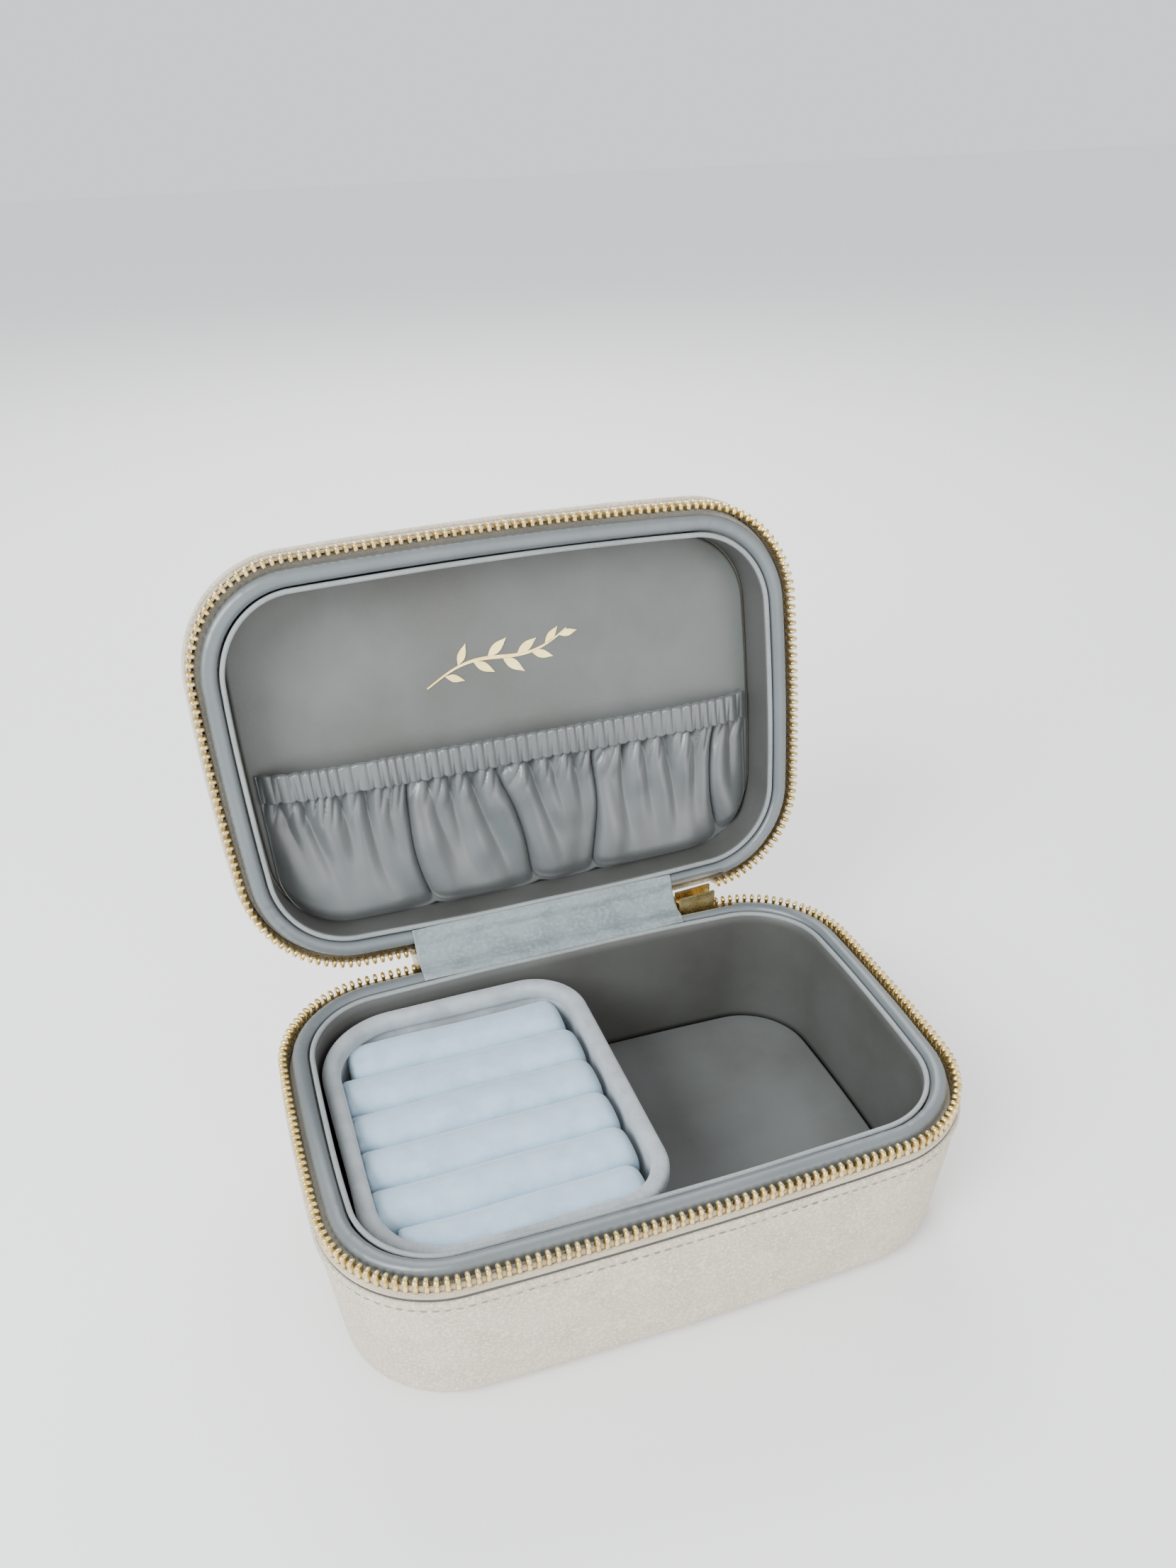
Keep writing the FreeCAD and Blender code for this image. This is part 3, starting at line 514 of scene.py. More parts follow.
def clothMaterial(name, light, dark, fleck, pitch, size=0.02, fleckSize=0.0007, amount=0.35,
                  relief=0.08 * mm, slant=0.0, **surface):
    material, tree, shader, _, tone = mottled(name, light, dark, fleck, size, fleckSize,
                                              amount, **surface)
    thread = addNode(tree, "ShaderNodeTexCoord").outputs["UV"]
    weave = addNode(tree, "ShaderNodeGroup",
                    {"Vector": thread, "Pitch": pitch, "Slant": slant},
                    node_tree=groups["weave"]).outputs["Height"]
    # painted shade and highlight: the colour is darkened in the weave's hollows and lightened on
    # its raised threads
    tint = addNode(tree, "ShaderNodeVectorMath",
                   {0: tone["Color"], "Scale": rerange(tree, weave, toLow=0.86, toHigh=1.06)},
                   operation="SCALE")
    tree.links.new(tint.outputs[0], shader["Base Color"])
    addBump(tree, shader, tone["Value"], relief * 0.8)
    addBump(tree, shader, weave, relief)
    return material


def leatherMaterial(name, light, dark, **surface):
    material, tree, shader, place, tone = mottled(name, light, dark, light, 0.035, 0.0009,
                                                  0.12, **surface)
    grain = addNode(tree, "ShaderNodeGroup", {"Vector": place, "Size": 0.6 * mm},
                    node_tree=groups["grain"]).outputs
    tree.links.new(tone["Color"], shader["Base Color"])
    tree.links.new(rerange(tree, grain["Cloud"], toLow=0.42, toHigh=0.62),
                   shader["Roughness"])
    addBump(tree, shader, grain["Height"], 0.035 * mm)
    return material


def velvetMaterial(name, light, dark, **surface):
    material, tree, shader, _, tone = mottled(name, light, dark, light, 0.007, 0.00045, 0.4,
                                              **surface)
    # painted sheen: the velvet turns toward its light colour where its surface faces away from
    # the view
    edge = addNode(tree, "ShaderNodeLayerWeight", {"Blend": 0.35}).outputs["Facing"]
    tree.links.new(mixed(tree, edge, tone["Color"], colour(*light)), shader["Base Color"])
    addBump(tree, shader, tone["Value"], 0.1 * mm)
    return material


def metalMaterial(name, light, dark, low, high):
    material, tree, shader, _, tone = mottled(name, light, dark, light, 0.004, 0.0005, 0.5,
                                              Metallic=1.0)
    tree.links.new(tone["Color"], shader["Base Color"])
    tree.links.new(rerange(tree, tone["Value"], 0.3, 0.7, low, high), shader["Roughness"])
    addBump(tree, shader, tone["Value"], 0.01 * mm)
    return material


looks = {
    "cover": clothMaterial(
        "beigeHeather", (206, 192, 172), (190, 177, 158), (238, 228, 208),
        0.5 * mm, size=0.012, fleckSize=0.0008, amount=0.85, relief=0.1 * mm,
        Roughness=0.92, Sheen_Weight=0.2, Sheen_Roughness=0.5),
    "edge": clothMaterial(
        "beigeTape", (196, 183, 160), (176, 162, 139), (214, 202, 182),
        0.5 * mm, relief=0.09 * mm, Roughness=0.85, Sheen_Weight=0.2),
    "satin": clothMaterial(
        "greySatin", (104, 111, 114), (95, 102, 105), (114, 120, 123),
        0.16 * mm, size=0.03, amount=0.15, relief=0.008 * mm, slant=1.0, Roughness=0.3,
        Specular_IOR_Level=0.85, Sheen_Weight=0.25, Sheen_Roughness=0.3),
    "strip": clothMaterial(
        "moireSatin", (134, 146, 149), (116, 126, 129), (158, 169, 172),
        0.2 * mm, size=0.008, fleckSize=0.0012, amount=0.5, relief=0.012 * mm, slant=1.0,
        Roughness=0.36, Specular_IOR_Level=0.7, Sheen_Weight=0.3, Sheen_Roughness=0.3),
    "pocket": clothMaterial(
        "taupeSatin", (101, 105, 105), (92, 96, 96), (109, 113, 113),
        0.16 * mm, size=0.03, amount=0.15, relief=0.008 * mm, slant=1.0, Roughness=0.31,
        Specular_IOR_Level=1.0, Sheen_Weight=0.35, Sheen_Roughness=0.3),
    "piping": clothMaterial(
        "palePiping", (146, 151, 151), (130, 135, 136), (166, 170, 170),
        0.3 * mm, relief=0.03 * mm, Roughness=0.45, Sheen_Weight=0.3),
    "lining": leatherMaterial("darkLeatherette", (84, 85, 82), (74, 74, 71),
                              Specular_IOR_Level=0.45),
    "panel": leatherMaterial("taupeLeatherette", (108, 111, 109), (97, 98, 95),
                             Specular_IOR_Level=0.4),
    "velvet": velvetMaterial("blueGreyVelvet", (184, 208, 224), (166, 190, 206),
                             Roughness=0.95, Sheen_Weight=0.5, Sheen_Roughness=0.4),
    "rimVelvet": velvetMaterial("greyVelvet", (170, 176, 180), (144, 149, 152),
                                Roughness=0.9, Sheen_Weight=0.6, Sheen_Roughness=0.35),
    "gold": metalMaterial("paleGold", (240, 218, 160), (200, 174, 112), 0.2,
                          0.4),
    "foil": metalMaterial("goldFoil", (252, 234, 172), (238, 212, 138), 0.2, 0.4),
    "foam": clothMaterial("whitePadding", (200, 198, 190), (182, 180, 172),
                          (208, 206, 200), 0.9 * mm, Roughness=1.0),
    "board": clothMaterial("greyBoard", (166, 158, 142), (150, 142, 128),
                           (140, 130, 114), 0.8 * mm, Roughness=1.0),
    "thread": clothMaterial("beigeThread", (150, 138, 120), (134, 122, 106),
                            (164, 154, 136), 0.3 * mm, Roughness=0.7),
}
say("materials")


# Geometry Nodes: one piece repeated along a route

def repeatTree(name, piece, material):
    tree, given, wanted = newTree(
        name, {"Geometry": "Geometry", "Pitch": "Float", "Jitter": "Float", "Seed": "Int"},
        {"Geometry": "Geometry"}, "Geometry")
    spots = addNode(tree, "GeometryNodeCurveToPoints",
                    {"Curve": given["Geometry"], "Length": given["Pitch"]},
                    mode="LENGTH").outputs
    facing = addNode(tree, "FunctionNodeAlignRotationToVector",
                     {"Vector": spots["Tangent"]}, axis="X", pivot_axis="Z")
    wobble = addNode(tree, "FunctionNodeRandomValue", {"Seed": given["Seed"]},
                     data_type="FLOAT_VECTOR")
    less = calc(tree, "SUBTRACT", 0.0, given["Jitter"])
    for number, side in enumerate((less, given["Jitter"])):
        corner = addNode(tree, "ShaderNodeCombineXYZ", {0: side, 1: side, 2: side})
        tree.links.new(corner.outputs[0], wobble.inputs[number])
    turn = addNode(tree, "FunctionNodeEulerToRotation", {0: wobble.outputs[0]})
    both = addNode(tree, "FunctionNodeRotateRotation",
                   {0: facing.outputs[0], 1: turn.outputs[0]}, rotation_space="LOCAL")
    shape = addNode(tree, "GeometryNodeObjectInfo", {"Object": piece})
    copies = addNode(tree, "GeometryNodeInstanceOnPoints",
                     {"Points": spots["Points"], "Instance": shape.outputs["Geometry"],
                      "Rotation": both.outputs[0]})
    real = addNode(tree, "GeometryNodeRealizeInstances", {0: copies.outputs[0]})
    painted = addNode(tree, "GeometryNodeSetMaterial",
                      {"Geometry": real.outputs[0], "Material": material})
    tree.links.new(painted.outputs[0], wanted[0])
    return tree


def repeated(name, inset, drop, span, piece, half, pitch, jitter, seed):
    # copies of a piece along the case's route; the piece itself is then dropped
    count = round((span[1] - span[0]) / (0.5 * mm))
    place, normal = alongRoute(caseRoute, np.linspace(*span, count))
    line = place - normal * inset
    path = bpy.data.curves.new(name + "Path", "CURVE")
    path.dimensions = "3D"
    spline = path.splines.new("POLY")
    spline.points.add(count - 1)
    spots = np.column_stack((line, np.full(count, halves[half]["sign"] * drop),
                             np.ones(count)))
    spline.points.foreach_set("co", spots.ravel())
    carrier = addObject(name + "Carrier", path)
    modifier = carrier.modifiers.new("repeat", "NODES")
    tree = repeatTree(name + "Nodes", piece, piece.data.materials[0])
    modifier.node_group = tree
    values = {"Pitch": pitch, "Jitter": jitter, "Seed": seed}
    for item in tree.interface.items_tree:
        if item.in_out == "INPUT" and item.name in values:
            modifier[item.identifier] = values[item.name]
    mesh = evaluatedMesh(carrier)
    mesh.name = name
    bpy.data.objects.remove(carrier)
    bpy.data.objects.remove(piece)
    mesh.transform(halves[half]["place"])
    shade(mesh)
    return addObject(name, mesh)


tooth = {
    # drop, half length along the row, half width across it: a foot lobe, a waist, a head lobe
    "sections": ((4.25, 0.40, 0.95), (4.0, 0.70, 1.3), (3.2, 0.80, 1.35), (2.6, 0.66, 1.2),
                 (2.15, 0.46, 1.05), (1.6, 0.66, 1.25), (1.0, 0.76, 1.28), (0.45, 0.60, 1.1),
                 (0.2, 0.30, 0.7)),
    "sides": 8,
    "squareness": 0.75,
}


def toothPiece(half):
    sides, squareness = tooth["sides"], tooth["squareness"]
    rings = []
    for drop, long, wide in tooth["sections"]:
        ring = []
        for side in range(sides):
            angle = math.tau * (side + 0.5) / sides
            x, y = (math.copysign(abs(part) ** squareness, part)
                    for part in (math.cos(angle), math.sin(angle)))
            ring.append((x * long * mm, y * wide * mm, halves[half]["sign"] * drop * mm))
        rings.append(ring)
    return loftPiece(f"{half}Tooth", rings, looks["gold"])


def zipRow(half, firstTooth, end):
    start = leftEnd + firstTooth * zipLine["pitch"]
    row = repeated(f"{half}ZipRow", 0, 0, (start, rightEnd(end)), toothPiece(half), half,
                   zipLine["pitch"], 0.03, 3)
    return settle(row, half, "zip_metal", f"{half}_zip_teeth")


zipRow("base", 0.75, zipLine["baseRowEnd"])
zipRow("lid", 1.25, zipLine["lidRowEnd"])
say("zip rows")


# Outer covers

cover = {
    "top": 7.4 * mm, "bend": 8 * mm, "out": 1.4 * mm, "thick": 0.8 * mm, "stitch": 10.8 * mm,
    "taper": {"base": 1.7 * mm, "lid": 0.5 * mm}, "crown": {"base": 0.0, "lid": 0.9 * mm},
    "roll": 0.55 * mm, "pinch": 0.28 * mm,
}


def coverProfile(half):
    # from the middle of the flat side out, round the bend, up to the edge and back inside
    deep, bend, taper = halves[half]["deep"], cover["bend"], cover["taper"][half]
    out, thick, top = cover["out"], cover["thick"], cover["top"]
    stitch, pinch, roll = cover["stitch"], cover["pinch"], cover["roll"]
    wallStart = deep - bend

    def corner(steps, radius, foot):
        angles = [math.pi / 2 * step / 12 for step in steps]
        return [(foot + radius * (1 - math.sin(angle)), wallStart + radius * math.cos(angle))
                for angle in angles]

    def wall(drops, foot):
        leans = [(drop - top) / (wallStart - top) for drop in drops]
        return [(foot + taper * lean ** 1.3, drop) for drop, lean in zip(drops, leans)]
    outer = corner(range(13), bend, taper - out)
    outer += wall(np.linspace(wallStart, stitch + 1.2 * mm, 10)[1:], -out)
    outer += [(-out + 0.6 * pinch, stitch + 0.45 * mm), (-out + pinch, stitch),
              (-out + 0.5 * pinch, stitch - 0.5 * mm), (-out - 0.6 * roll, stitch - 1.4 * mm),
              (-out - roll, top + 1.5 * mm), (-out - 0.8 * roll, top + 0.7 * mm),
              (-out - 0.2 * roll, top + 0.15 * mm), (-out + 0.35 * mm, top)]
    inner = [(-out + thick, top + 0.25 * mm)]
    inner += wall(np.linspace(top + 1 * mm, wallStart, 8), thick - out)
    inner += corner(range(11, -1, -1), bend - thick, taper + thick - out)
    return np.array(outer + inner)


def coverPiece(half):
    profile = coverProfile(half)
    u = stations(caseRoute["length"], 1.0 * mm)
    v = runLength(profile)
    inset, drop = spread(u, profile)
    around, down = u[:, None], v[None]
    onWall = np.clip((drop - cover["top"]) / (3 * mm), 0, 1)
    soft = ripple(around, down, 18, 5) * 0.22 * mm
    fine = ripple(around, down, 5, 6) * 0.06 * mm
    inset += (soft + fine) * onWall
    pucker = ripple(around, down * 0.3, 2.6, 7) * 0.1 * mm
    inset += pucker * np.exp(-((drop - cover["stitch"]) / (1.6 * mm)) ** 2)
    sign = halves[half]["sign"]
    scales = (0.2, 0.42, 0.62, 0.8, 0.92)
    points = closeFlat(layOut(caseRoute, u, inset, drop * sign), scales,
                       crown=cover["crown"][half] * sign)
    count, rings = points.shape[1], len(scales)
    places = np.arange(count) * 0.001
    places[rings:count - rings] = v
    planar = {*range(rings), *range(count - rings - 1, count)}
    piece = gridPiece(f"{half}Cover", points, u, places, looks["cover"], True, False, "poles",
                      planar)
    piece.data.transform(halves[half]["place"])
    return settle(piece, half, "cover_fabric", f"{half}_outer_cover")


for half in halves:
    coverPiece(half)
say("covers")


# Stitches: a short thread that dips into the cloth at both ends

stitch = {"long": 1.8 * mm, "thick": 0.26 * mm, "pitch": 2.9 * mm}


def stitchPiece():
    rings = []
    for t in np.linspace(0, 1, 6):
        radius = stitch["thick"] * math.sqrt(max(0.06, 1 - (2 * t - 1) ** 2))
        angles = [math.tau * side / 6 for side in range(6)]
        rings.append([((t - 0.5) * stitch["long"], radius * math.cos(angle),
                       radius * 1.4 * math.sin(angle)) for angle in angles])
    return loftPiece("stitch", rings, looks["thread"])


for half in halves:
    row = repeated(f"{half}Stitches", cover["pinch"] - cover["out"] + 0.02 * mm,
                   cover["stitch"], (0, caseRoute["length"] - 2 * mm), stitchPiece(), half,
                   stitch["pitch"], 0.04, 9)
    settle(row, half, "cover_fabric")
say("stitches")


# Tape edge, bead, piping, lining and padding, which run round each half

def atSlider(u):
    # 1 beside the slider, where the bead gives way to its plates, and 0 elsewhere
    start, end = rightEnd(61 * mm), rightEnd(42.5 * mm)
    return smoothStep(start - 2 * mm, start, u) * smoothStep(end + 1 * mm, end, u)


def bindingShape(u, v, inset, drop):
    return inset + ripple(u, v, 6, 21) * 0.08 * mm, drop


def beadShape(u, v, inset, drop):
    swell = ripple(u, v, 30, 31) * 0.14 * mm
    pucker = ripple(u + 0.35 * v, v * 0.25, 1.9, 32)
    where = smoothStep(-0.1, 0.6, ripple(u, v * 0, 42, 33))
    depth = (swell + pucker * where * 0.09 * mm) * smoothStep(5 * mm, 3 * mm, drop)
    squeeze = atSlider(u) * 1.3 * mm * np.clip((6.9 * mm - inset) / (4.4 * mm), 0, 1)
    return inset + squeeze, drop + depth


def pipingShape(u, v, inset, drop):
    return (inset + ripple(u, v * 0, 25, 41) * 0.15 * mm,
            drop + ripple(u, v * 0, 19, 42) * 0.1 * mm)


# Corners are (inset, drop) in millimetres. The binding and the dark strip of painted shade next
# to it leave out the hinge and the slider's place beside it.
edgeSpan = (leftEnd - 2 * mm, rightEnd(60.5 * mm))
bands = {
    "binding": {"corners": [(-0.95, 4.4), (-0.35, 4.3), (-0.35, 6.6), (-1.05, 6.55)],
                "round": 0.3, "steps": 3, "look": "edge", "slot": "edge_fabric",
                "node": "edge_binding", "span": edgeSpan, "shape": bindingShape},
    # a strip of the dark lining in the gap between the binding and the cover's edge: painted
    # shade in that gap
    "seam": {"corners": [(-0.8, 6.5), (-0.2, 6.5), (-0.2, 7.7), (-0.8, 7.7)], "round": 0.15,
             "steps": 2, "look": "lining", "slot": "lining", "span": edgeSpan},
    "bead": {"corners": [(2.5, 5.2), (2.5, 0.5), (6.9, 0.5), (6.9, 5.2)], "round": 3.3,
             "steps": 7, "look": "satin", "slot": "satin", "node": "collar", "fill": 0.85,
             "step": 0.5 * mm, "shape": beadShape},
    "piping": {"corners": [(7.35, 2.6), (7.35, 1.35), (8.75, 1.35), (8.75, 2.6)],
               "round": 0.62, "steps": 3, "look": "piping", "slot": "piping",
               "node": "piping", "shape": pipingShape},
}


def bandPiece(half, name):
    band = bands[name]
    corners = [(inset * mm, drop * mm) for inset, drop in band["corners"]]
    profile = softLoop(corners, band["round"] * mm, band["steps"])
    piece = sweep(half + name.title(), half, profile, band["look"],
                  step=band.get("step", 0.8 * mm), span=band.get("span"),
                  shape=band.get("shape"))
    nodes = [f"{half}_{band['node']}"] if "node" in band else []
    settle(piece, half, band["slot"], *nodes, fill=band.get("fill"))


def liningPiece(half, foot):
    # a skin over the padded wall, with a slight swell between its sewn edges
    inner = [(8.75 * mm + 0.25 * mm * math.sin(math.pi * k / 15), drop)
             for k, drop in enumerate(np.linspace(2.4 * mm, foot, 16))]
    profile = [(8.0 * mm, 2.0 * mm)] + inner + [(7.9 * mm, foot)]

    def shape(u, v, inset, drop):
        swell = ripple(u, v, 28, 51) * 0.16 * mm
        return inset + swell * smoothStep(2.2 * mm, 6 * mm, drop), drop
    piece = sweep(f"{half}Lining", half, profile, "lining", step=1.2 * mm, shape=shape)
    settle(piece, half, "lining", f"{half}_lining")


def paddingPiece(half, foot, taper):
    profile = softLoop([(0.9 * mm, 5.4 * mm), (7.6 * mm, 5.4 * mm), (7.6 * mm, foot),
                        (0.9 * mm + taper, foot)], 1.2 * mm, 3)
    piece = sweep(f"{half}Padding", half, profile, "foam", step=1.5 * mm)
    settle(piece, half, "foam", f"{half}_padded_wall", fill=0.9)


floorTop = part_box("base_floor_pad")[1].z
for half in halves:
    for name in bands:
        bandPiece(half, name)
liningPiece("base", rimZ - floorTop + 1.5 * mm)
liningPiece("lid", 17 * mm)
paddingPiece("base", 45 * mm, 1.6 * mm)
paddingPiece("lid", 12.5 * mm, 0.3 * mm)
say("bands")


# Floor pad and lid panel: padded boards covered in leatherette

board = {"inset": 9.2 * mm, "edge": 1.1 * mm, "edgeSteps": 6, "rings": 14,
         "wave": 0.12 * mm, "waveCell": 26 * mm}


def paddedBoard(name, half, faceDrop, thick, crown, seed):
    u = stations(caseRoute["length"], 1.2 * mm)
    place, normal = alongRoute(caseRoute, u)
    sign, edge, rings = halves[half]["sign"], board["edge"], board["rings"]

    def level(ring, z):
        return np.column_stack((ring, np.full(len(u), z)))
    under = level(place - normal * board["inset"], sign * (faceDrop + thick))
    columns = [under * np.array((0.5, 0.5, 1)), under]
    for step in range(board["edgeSteps"] + 1):
        angle = math.pi / 2 * step / board["edgeSteps"]
        columns.append(level(place - normal * (board["inset"] + edge * (1 - math.cos(angle))),
                             sign * (faceDrop + edge * (1 - math.sin(angle)))))
    face = place - normal * (board["inset"] + edge)
    for step in range(1, rings):
        scale = 1 - step / rings
        ring = face * scale
        wave = smoothNoise(ring[:, 0] + 1, ring[:, 1] + 1, board["waveCell"], seed)
        rise = wave * board["wave"] * (1 - scale ** 6)
        columns.append(level(ring, sign * (faceDrop - crown * (1 - scale ** 2)) + rise))
    points = np.stack(columns, axis=1)
    count = points.shape[1]
    piece = gridPiece(name, points, u, np.arange(count) * 0.004, looks["panel"], True, False,
                      "poles", set(range(count)))
    piece.data.transform(halves[half]["place"])
    return piece


floorPad = paddedBoard("floorPad", "base", rimZ - floorTop, 4 * mm, 0.7 * mm, 61)
settle(floorPad, "base", "panel", "base_floor_pad", fill=0.9)
lidPanel = paddedBoard("lidPanel", "lid", 16 * mm, 1.2 * mm, 0.35 * mm, 62)
settle(lidPanel, "lid", "panel", "lid_back_panel")
say("boards")


# Padding: pressure cloth at ten times the size, where the solver is steady

puff = {
    "scale": 10, "voxel": 0.011, "frames": 20,
    "cloth": {"quality": 6, "mass": 0.3, "tension_stiffness": 12, "compression_stiffness": 12,
              "bending_stiffness": 0.6, "use_pressure": True},
}


def readPoints(mesh):
    spots = np.zeros(len(mesh.vertices) * 3)
    mesh.vertices.foreach_get("co", spots)
    return spots.reshape(-1, 3)


def inflate(piece, pressure, cap, low=None):
    # swells a closed piece; no point moves further than cap, or below the height low
    material = piece.data.materials[0]
    centre = sum((Vector(corner) for corner in piece.bound_box), Vector()) / 8
    grow = Matrix.Scale(puff["scale"], 4) @ Matrix.Translation(-centre)
    piece.data.transform(grow)
    remesh = piece.modifiers.new("remesh", "REMESH")
    remesh.mode = "VOXEL"
    remesh.voxel_size = puff["voxel"]
    replaceMesh(piece, evaluatedMesh(piece), material)
    before = readPoints(piece.data)
    cloth = piece.modifiers.new("cloth", "CLOTH")
    for title, value in puff["cloth"].items():
        setattr(cloth.settings, title, value)
    cloth.settings.uniform_pressure_force = pressure
    cloth.settings.effector_weights.gravity = 0
    cloth.point_cache.frame_start = 1
    cloth.point_cache.frame_end = puff["frames"]
    for step in range(1, puff["frames"] + 1):
        bpy.context.scene.frame_set(step)
    mesh = evaluatedMesh(piece)
    move = readPoints(mesh) - before
    far = np.linalg.norm(move, axis=1)
    limit = cap * puff["scale"]
    move *= (limit * np.tanh(far / limit) / np.maximum(far, 1e-9))[:, None]
    settled = before + move
    if low is not None:
        settled[:, 2] = np.maximum(settled[:, 2], (low - centre.z) * puff["scale"])
    mesh.vertices.foreach_set("co", settled.ravel())
    replaceMesh(piece, mesh, material)
    bpy.context.scene.frame_set(1)
    smooth = piece.modifiers.new("smooth", "SUBSURF")
    smooth.levels = smooth.render_levels = 1
    replaceMesh(piece, evaluatedMesh(piece), material)
    piece.data.transform(grow.inverted())


# Tray

rimLow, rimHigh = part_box("tray_rim_roll")
shellLow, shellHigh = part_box("tray_shell")
tray = {
    "roll": 5 * mm, "rollTall": 5.6 * mm, "leftCorner": 24 * mm, "rightCorner": 17 * mm,
    "rib": 0.95 * mm, "ribHeight": 0.16 * mm, "wall": 2.4 * mm,
    # the outer side of the shell as (outward of the wall, above the foot)
    "toe": ((1.6, 0), (0.5, 0.4), (0, 1.6)),
}


def trayRoute():
    big, small = tray["leftCorner"], tray["rightCorner"]
    return boxRoute(rimLow.x, rimHigh.x, rimLow.y, rimHigh.y, (big, big, small, small))


def trayRim():
    route = trayRoute()
    top = rimZ - rimHigh.z
    wide, tall = tray["roll"], tray["rollTall"]
    profile = softLoop([(0, top + tall), (0, top), (wide, top), (wide, top + tall)],
                       2.45 * mm, 7)

    def shape(u, v, inset, drop):
        # fine ribs, strongest along the front
        _, normal = alongRoute(route, u[:, 0])
        front = smoothStep(-0.2, 0.5, -normal[:, 1])[:, None]
        ribs = np.sin(math.tau * (u + 0.45 * (v - 6 * mm)) / tray["rib"])
        ribs = ribs + 0.5 * smoothNoise(u, v * 0.3, 1.4 * mm, 72, route["length"])
        height = tray["ribHeight"] * (0.15 + 0.85 * front) * ribs
        swell = smoothNoise(u, v, 24 * mm, 71, route["length"]) * 0.18 * mm
        outward = np.clip((inset - wide / 2) / (wide / 2), -1, 1)
        onTop = smoothStep(top + 2.6 * mm, top + 0.4 * mm, drop)
        inset = inset + outward * (height + swell) * (1 - onTop)
        return inset, drop - (height + swell) * onTop
    piece = sweep("trayRim", "base", profile, "rimVelvet", route=route, step=0.24 * mm,
                  shape=shape)
    settle(piece, "ring_tray", "velvet", "tray_rim_roll", fill=0.9)


def trayShell():
    # floor, outer wall and inner wall in one closed skin
    route = trayRoute()
    foot, top = rimZ - shellLow.z, rimZ - shellHigh.z
    wall = tray["wall"]
    middle = (tray["roll"] - wall) / 2
    outer = [(middle + inward * mm, foot - rise * mm) for inward, rise in tray["toe"]]
    outer += [(middle - 0.15 * mm, drop) for drop in np.linspace(foot - 5 * mm, top, 8)]
    inner = [(middle + wall, drop) for drop in np.linspace(top, foot - 3 * mm, 6)]
    inner.append((middle + wall + 1 * mm, foot - wall))
    u = stations(route["length"], 1.2 * mm)
    inset, drop = spread(u, np.array(outer + inner))
    centre = alongRoute(route, u)[0].mean(axis=0)
    points = closeFlat(layOut(route, u, inset, -drop), (0.3, 0.65, 0.9), centre)
    v = np.arange(points.shape[1]) * 0.003
    piece = gridPiece("trayShell", points, u, v, looks["rimVelvet"], True, False, "poles")
    piece.data.transform(toBase)
    settle(piece, "ring_tray", "velvet", "tray_shell")


log = {
    "lengthwise": 72, "over": 30, "under": 12, "crown": 4.2 * mm, "spare": 0.3 * mm,
    "start": -1.01, "end": 1.0, "trimLeft": 0.08, "trimRight": 0.04,
    "roundFrom": 0.84, "leftRound": 0.88, "narrow": 0.12,
    "endDrop": 4.6 * mm, "crownDrop": 1.2 * mm,
}


def rollPiece(number):
    # a log as wide as the pitch, with a low crown and round ends
    low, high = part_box(f"ring_roll_{number}")
    wide, deep = high.x - low.x, high.y - low.y + log["spare"]
    tall, crown = high.z - low.z, log["crown"]
    lengthwise, over, under = log["lengthwise"], log["over"], log["under"]
    start, end, flatShare = log["start"], log["end"], log["roundFrom"]
    if number in (1, 6):
        # the outer rolls are cut back by the tray's round corners
        start += log["trimLeft"]
        end -= log["trimRight"]
    points = np.zeros((lengthwise, over + under, 3))
    for i in range(lengthwise):
        s = -math.cos(math.pi * i / (lengthwise - 1))
        along = start + (end - start) * (s + 1) / 2
        reach = s if s > 0 else -log["leftRound"] * s
        endShare = max(0.0, (reach - flatShare) / (1 - flatShare))
        drop = (1 - math.sqrt(max(0.0, 1 - endShare ** 2.4)))
        half = deep / 2 * (1 - log["narrow"] * endShare ** 3)
        for j in range(over):
            angle = math.pi * j / (over - 1)
            y = math.copysign(abs(math.cos(angle)) ** 0.82, math.cos(angle))
            z = tall - crown + crown * math.sin(angle) ** 0.85
            z -= drop * (log["endDrop"] + log["crownDrop"] * math.sin(angle))
            points[i, j] = (along, -y * half, z)
        for j in range(under):
            points[i, over + j] = (along, (1 - 2 * (j + 1) / (under + 1)) * half, 0)
    points[..., 0] = (low.x + high.x) / 2 + points[..., 0] * wide / 2
    lift = smoothStep(0.55 * tall, tall, points[..., 2])
    place = points[..., 0] + 1
    points[..., 2] += smoothNoise(place, place * 0, 21 * mm, 90 + number) * 0.4 * mm * lift
    points[..., 1] += smoothNoise(place, place * 0, 26 * mm, 97 + number) * 0.25 * mm * lift
    points += (0, (low.y + high.y) / 2, low.z)
    u = np.linspace(0, wide, lengthwise)
    v = np.linspace(0, 45 * mm, over + under)
    piece = gridPiece(f"ringRoll{number}", points, u, v, looks["velvet"], False, True, "ends")
    inflate(piece, 5.0, 0.4 * mm, low.z)
    settle(piece, "ring_tray", "velvet", f"ring_roll_{number}", fill=0.75)


def trayBed():
    piece = addObject("trayBed", frame["nodes"]["tray_foam_bed"].data.copy())
    replaceMesh(piece, piece.data, looks["velvet"])
    inflate(piece, 3.0, 0.15 * mm)
    settle(piece, "ring_tray", "foam", "tray_foam_bed", fill=0.9)


trayRim()
trayShell()
trayBed()
for number in range(1, 7):
    rollPiece(number)
say("tray")


# Lid pocket: a gathered satin pouch under an elastic header

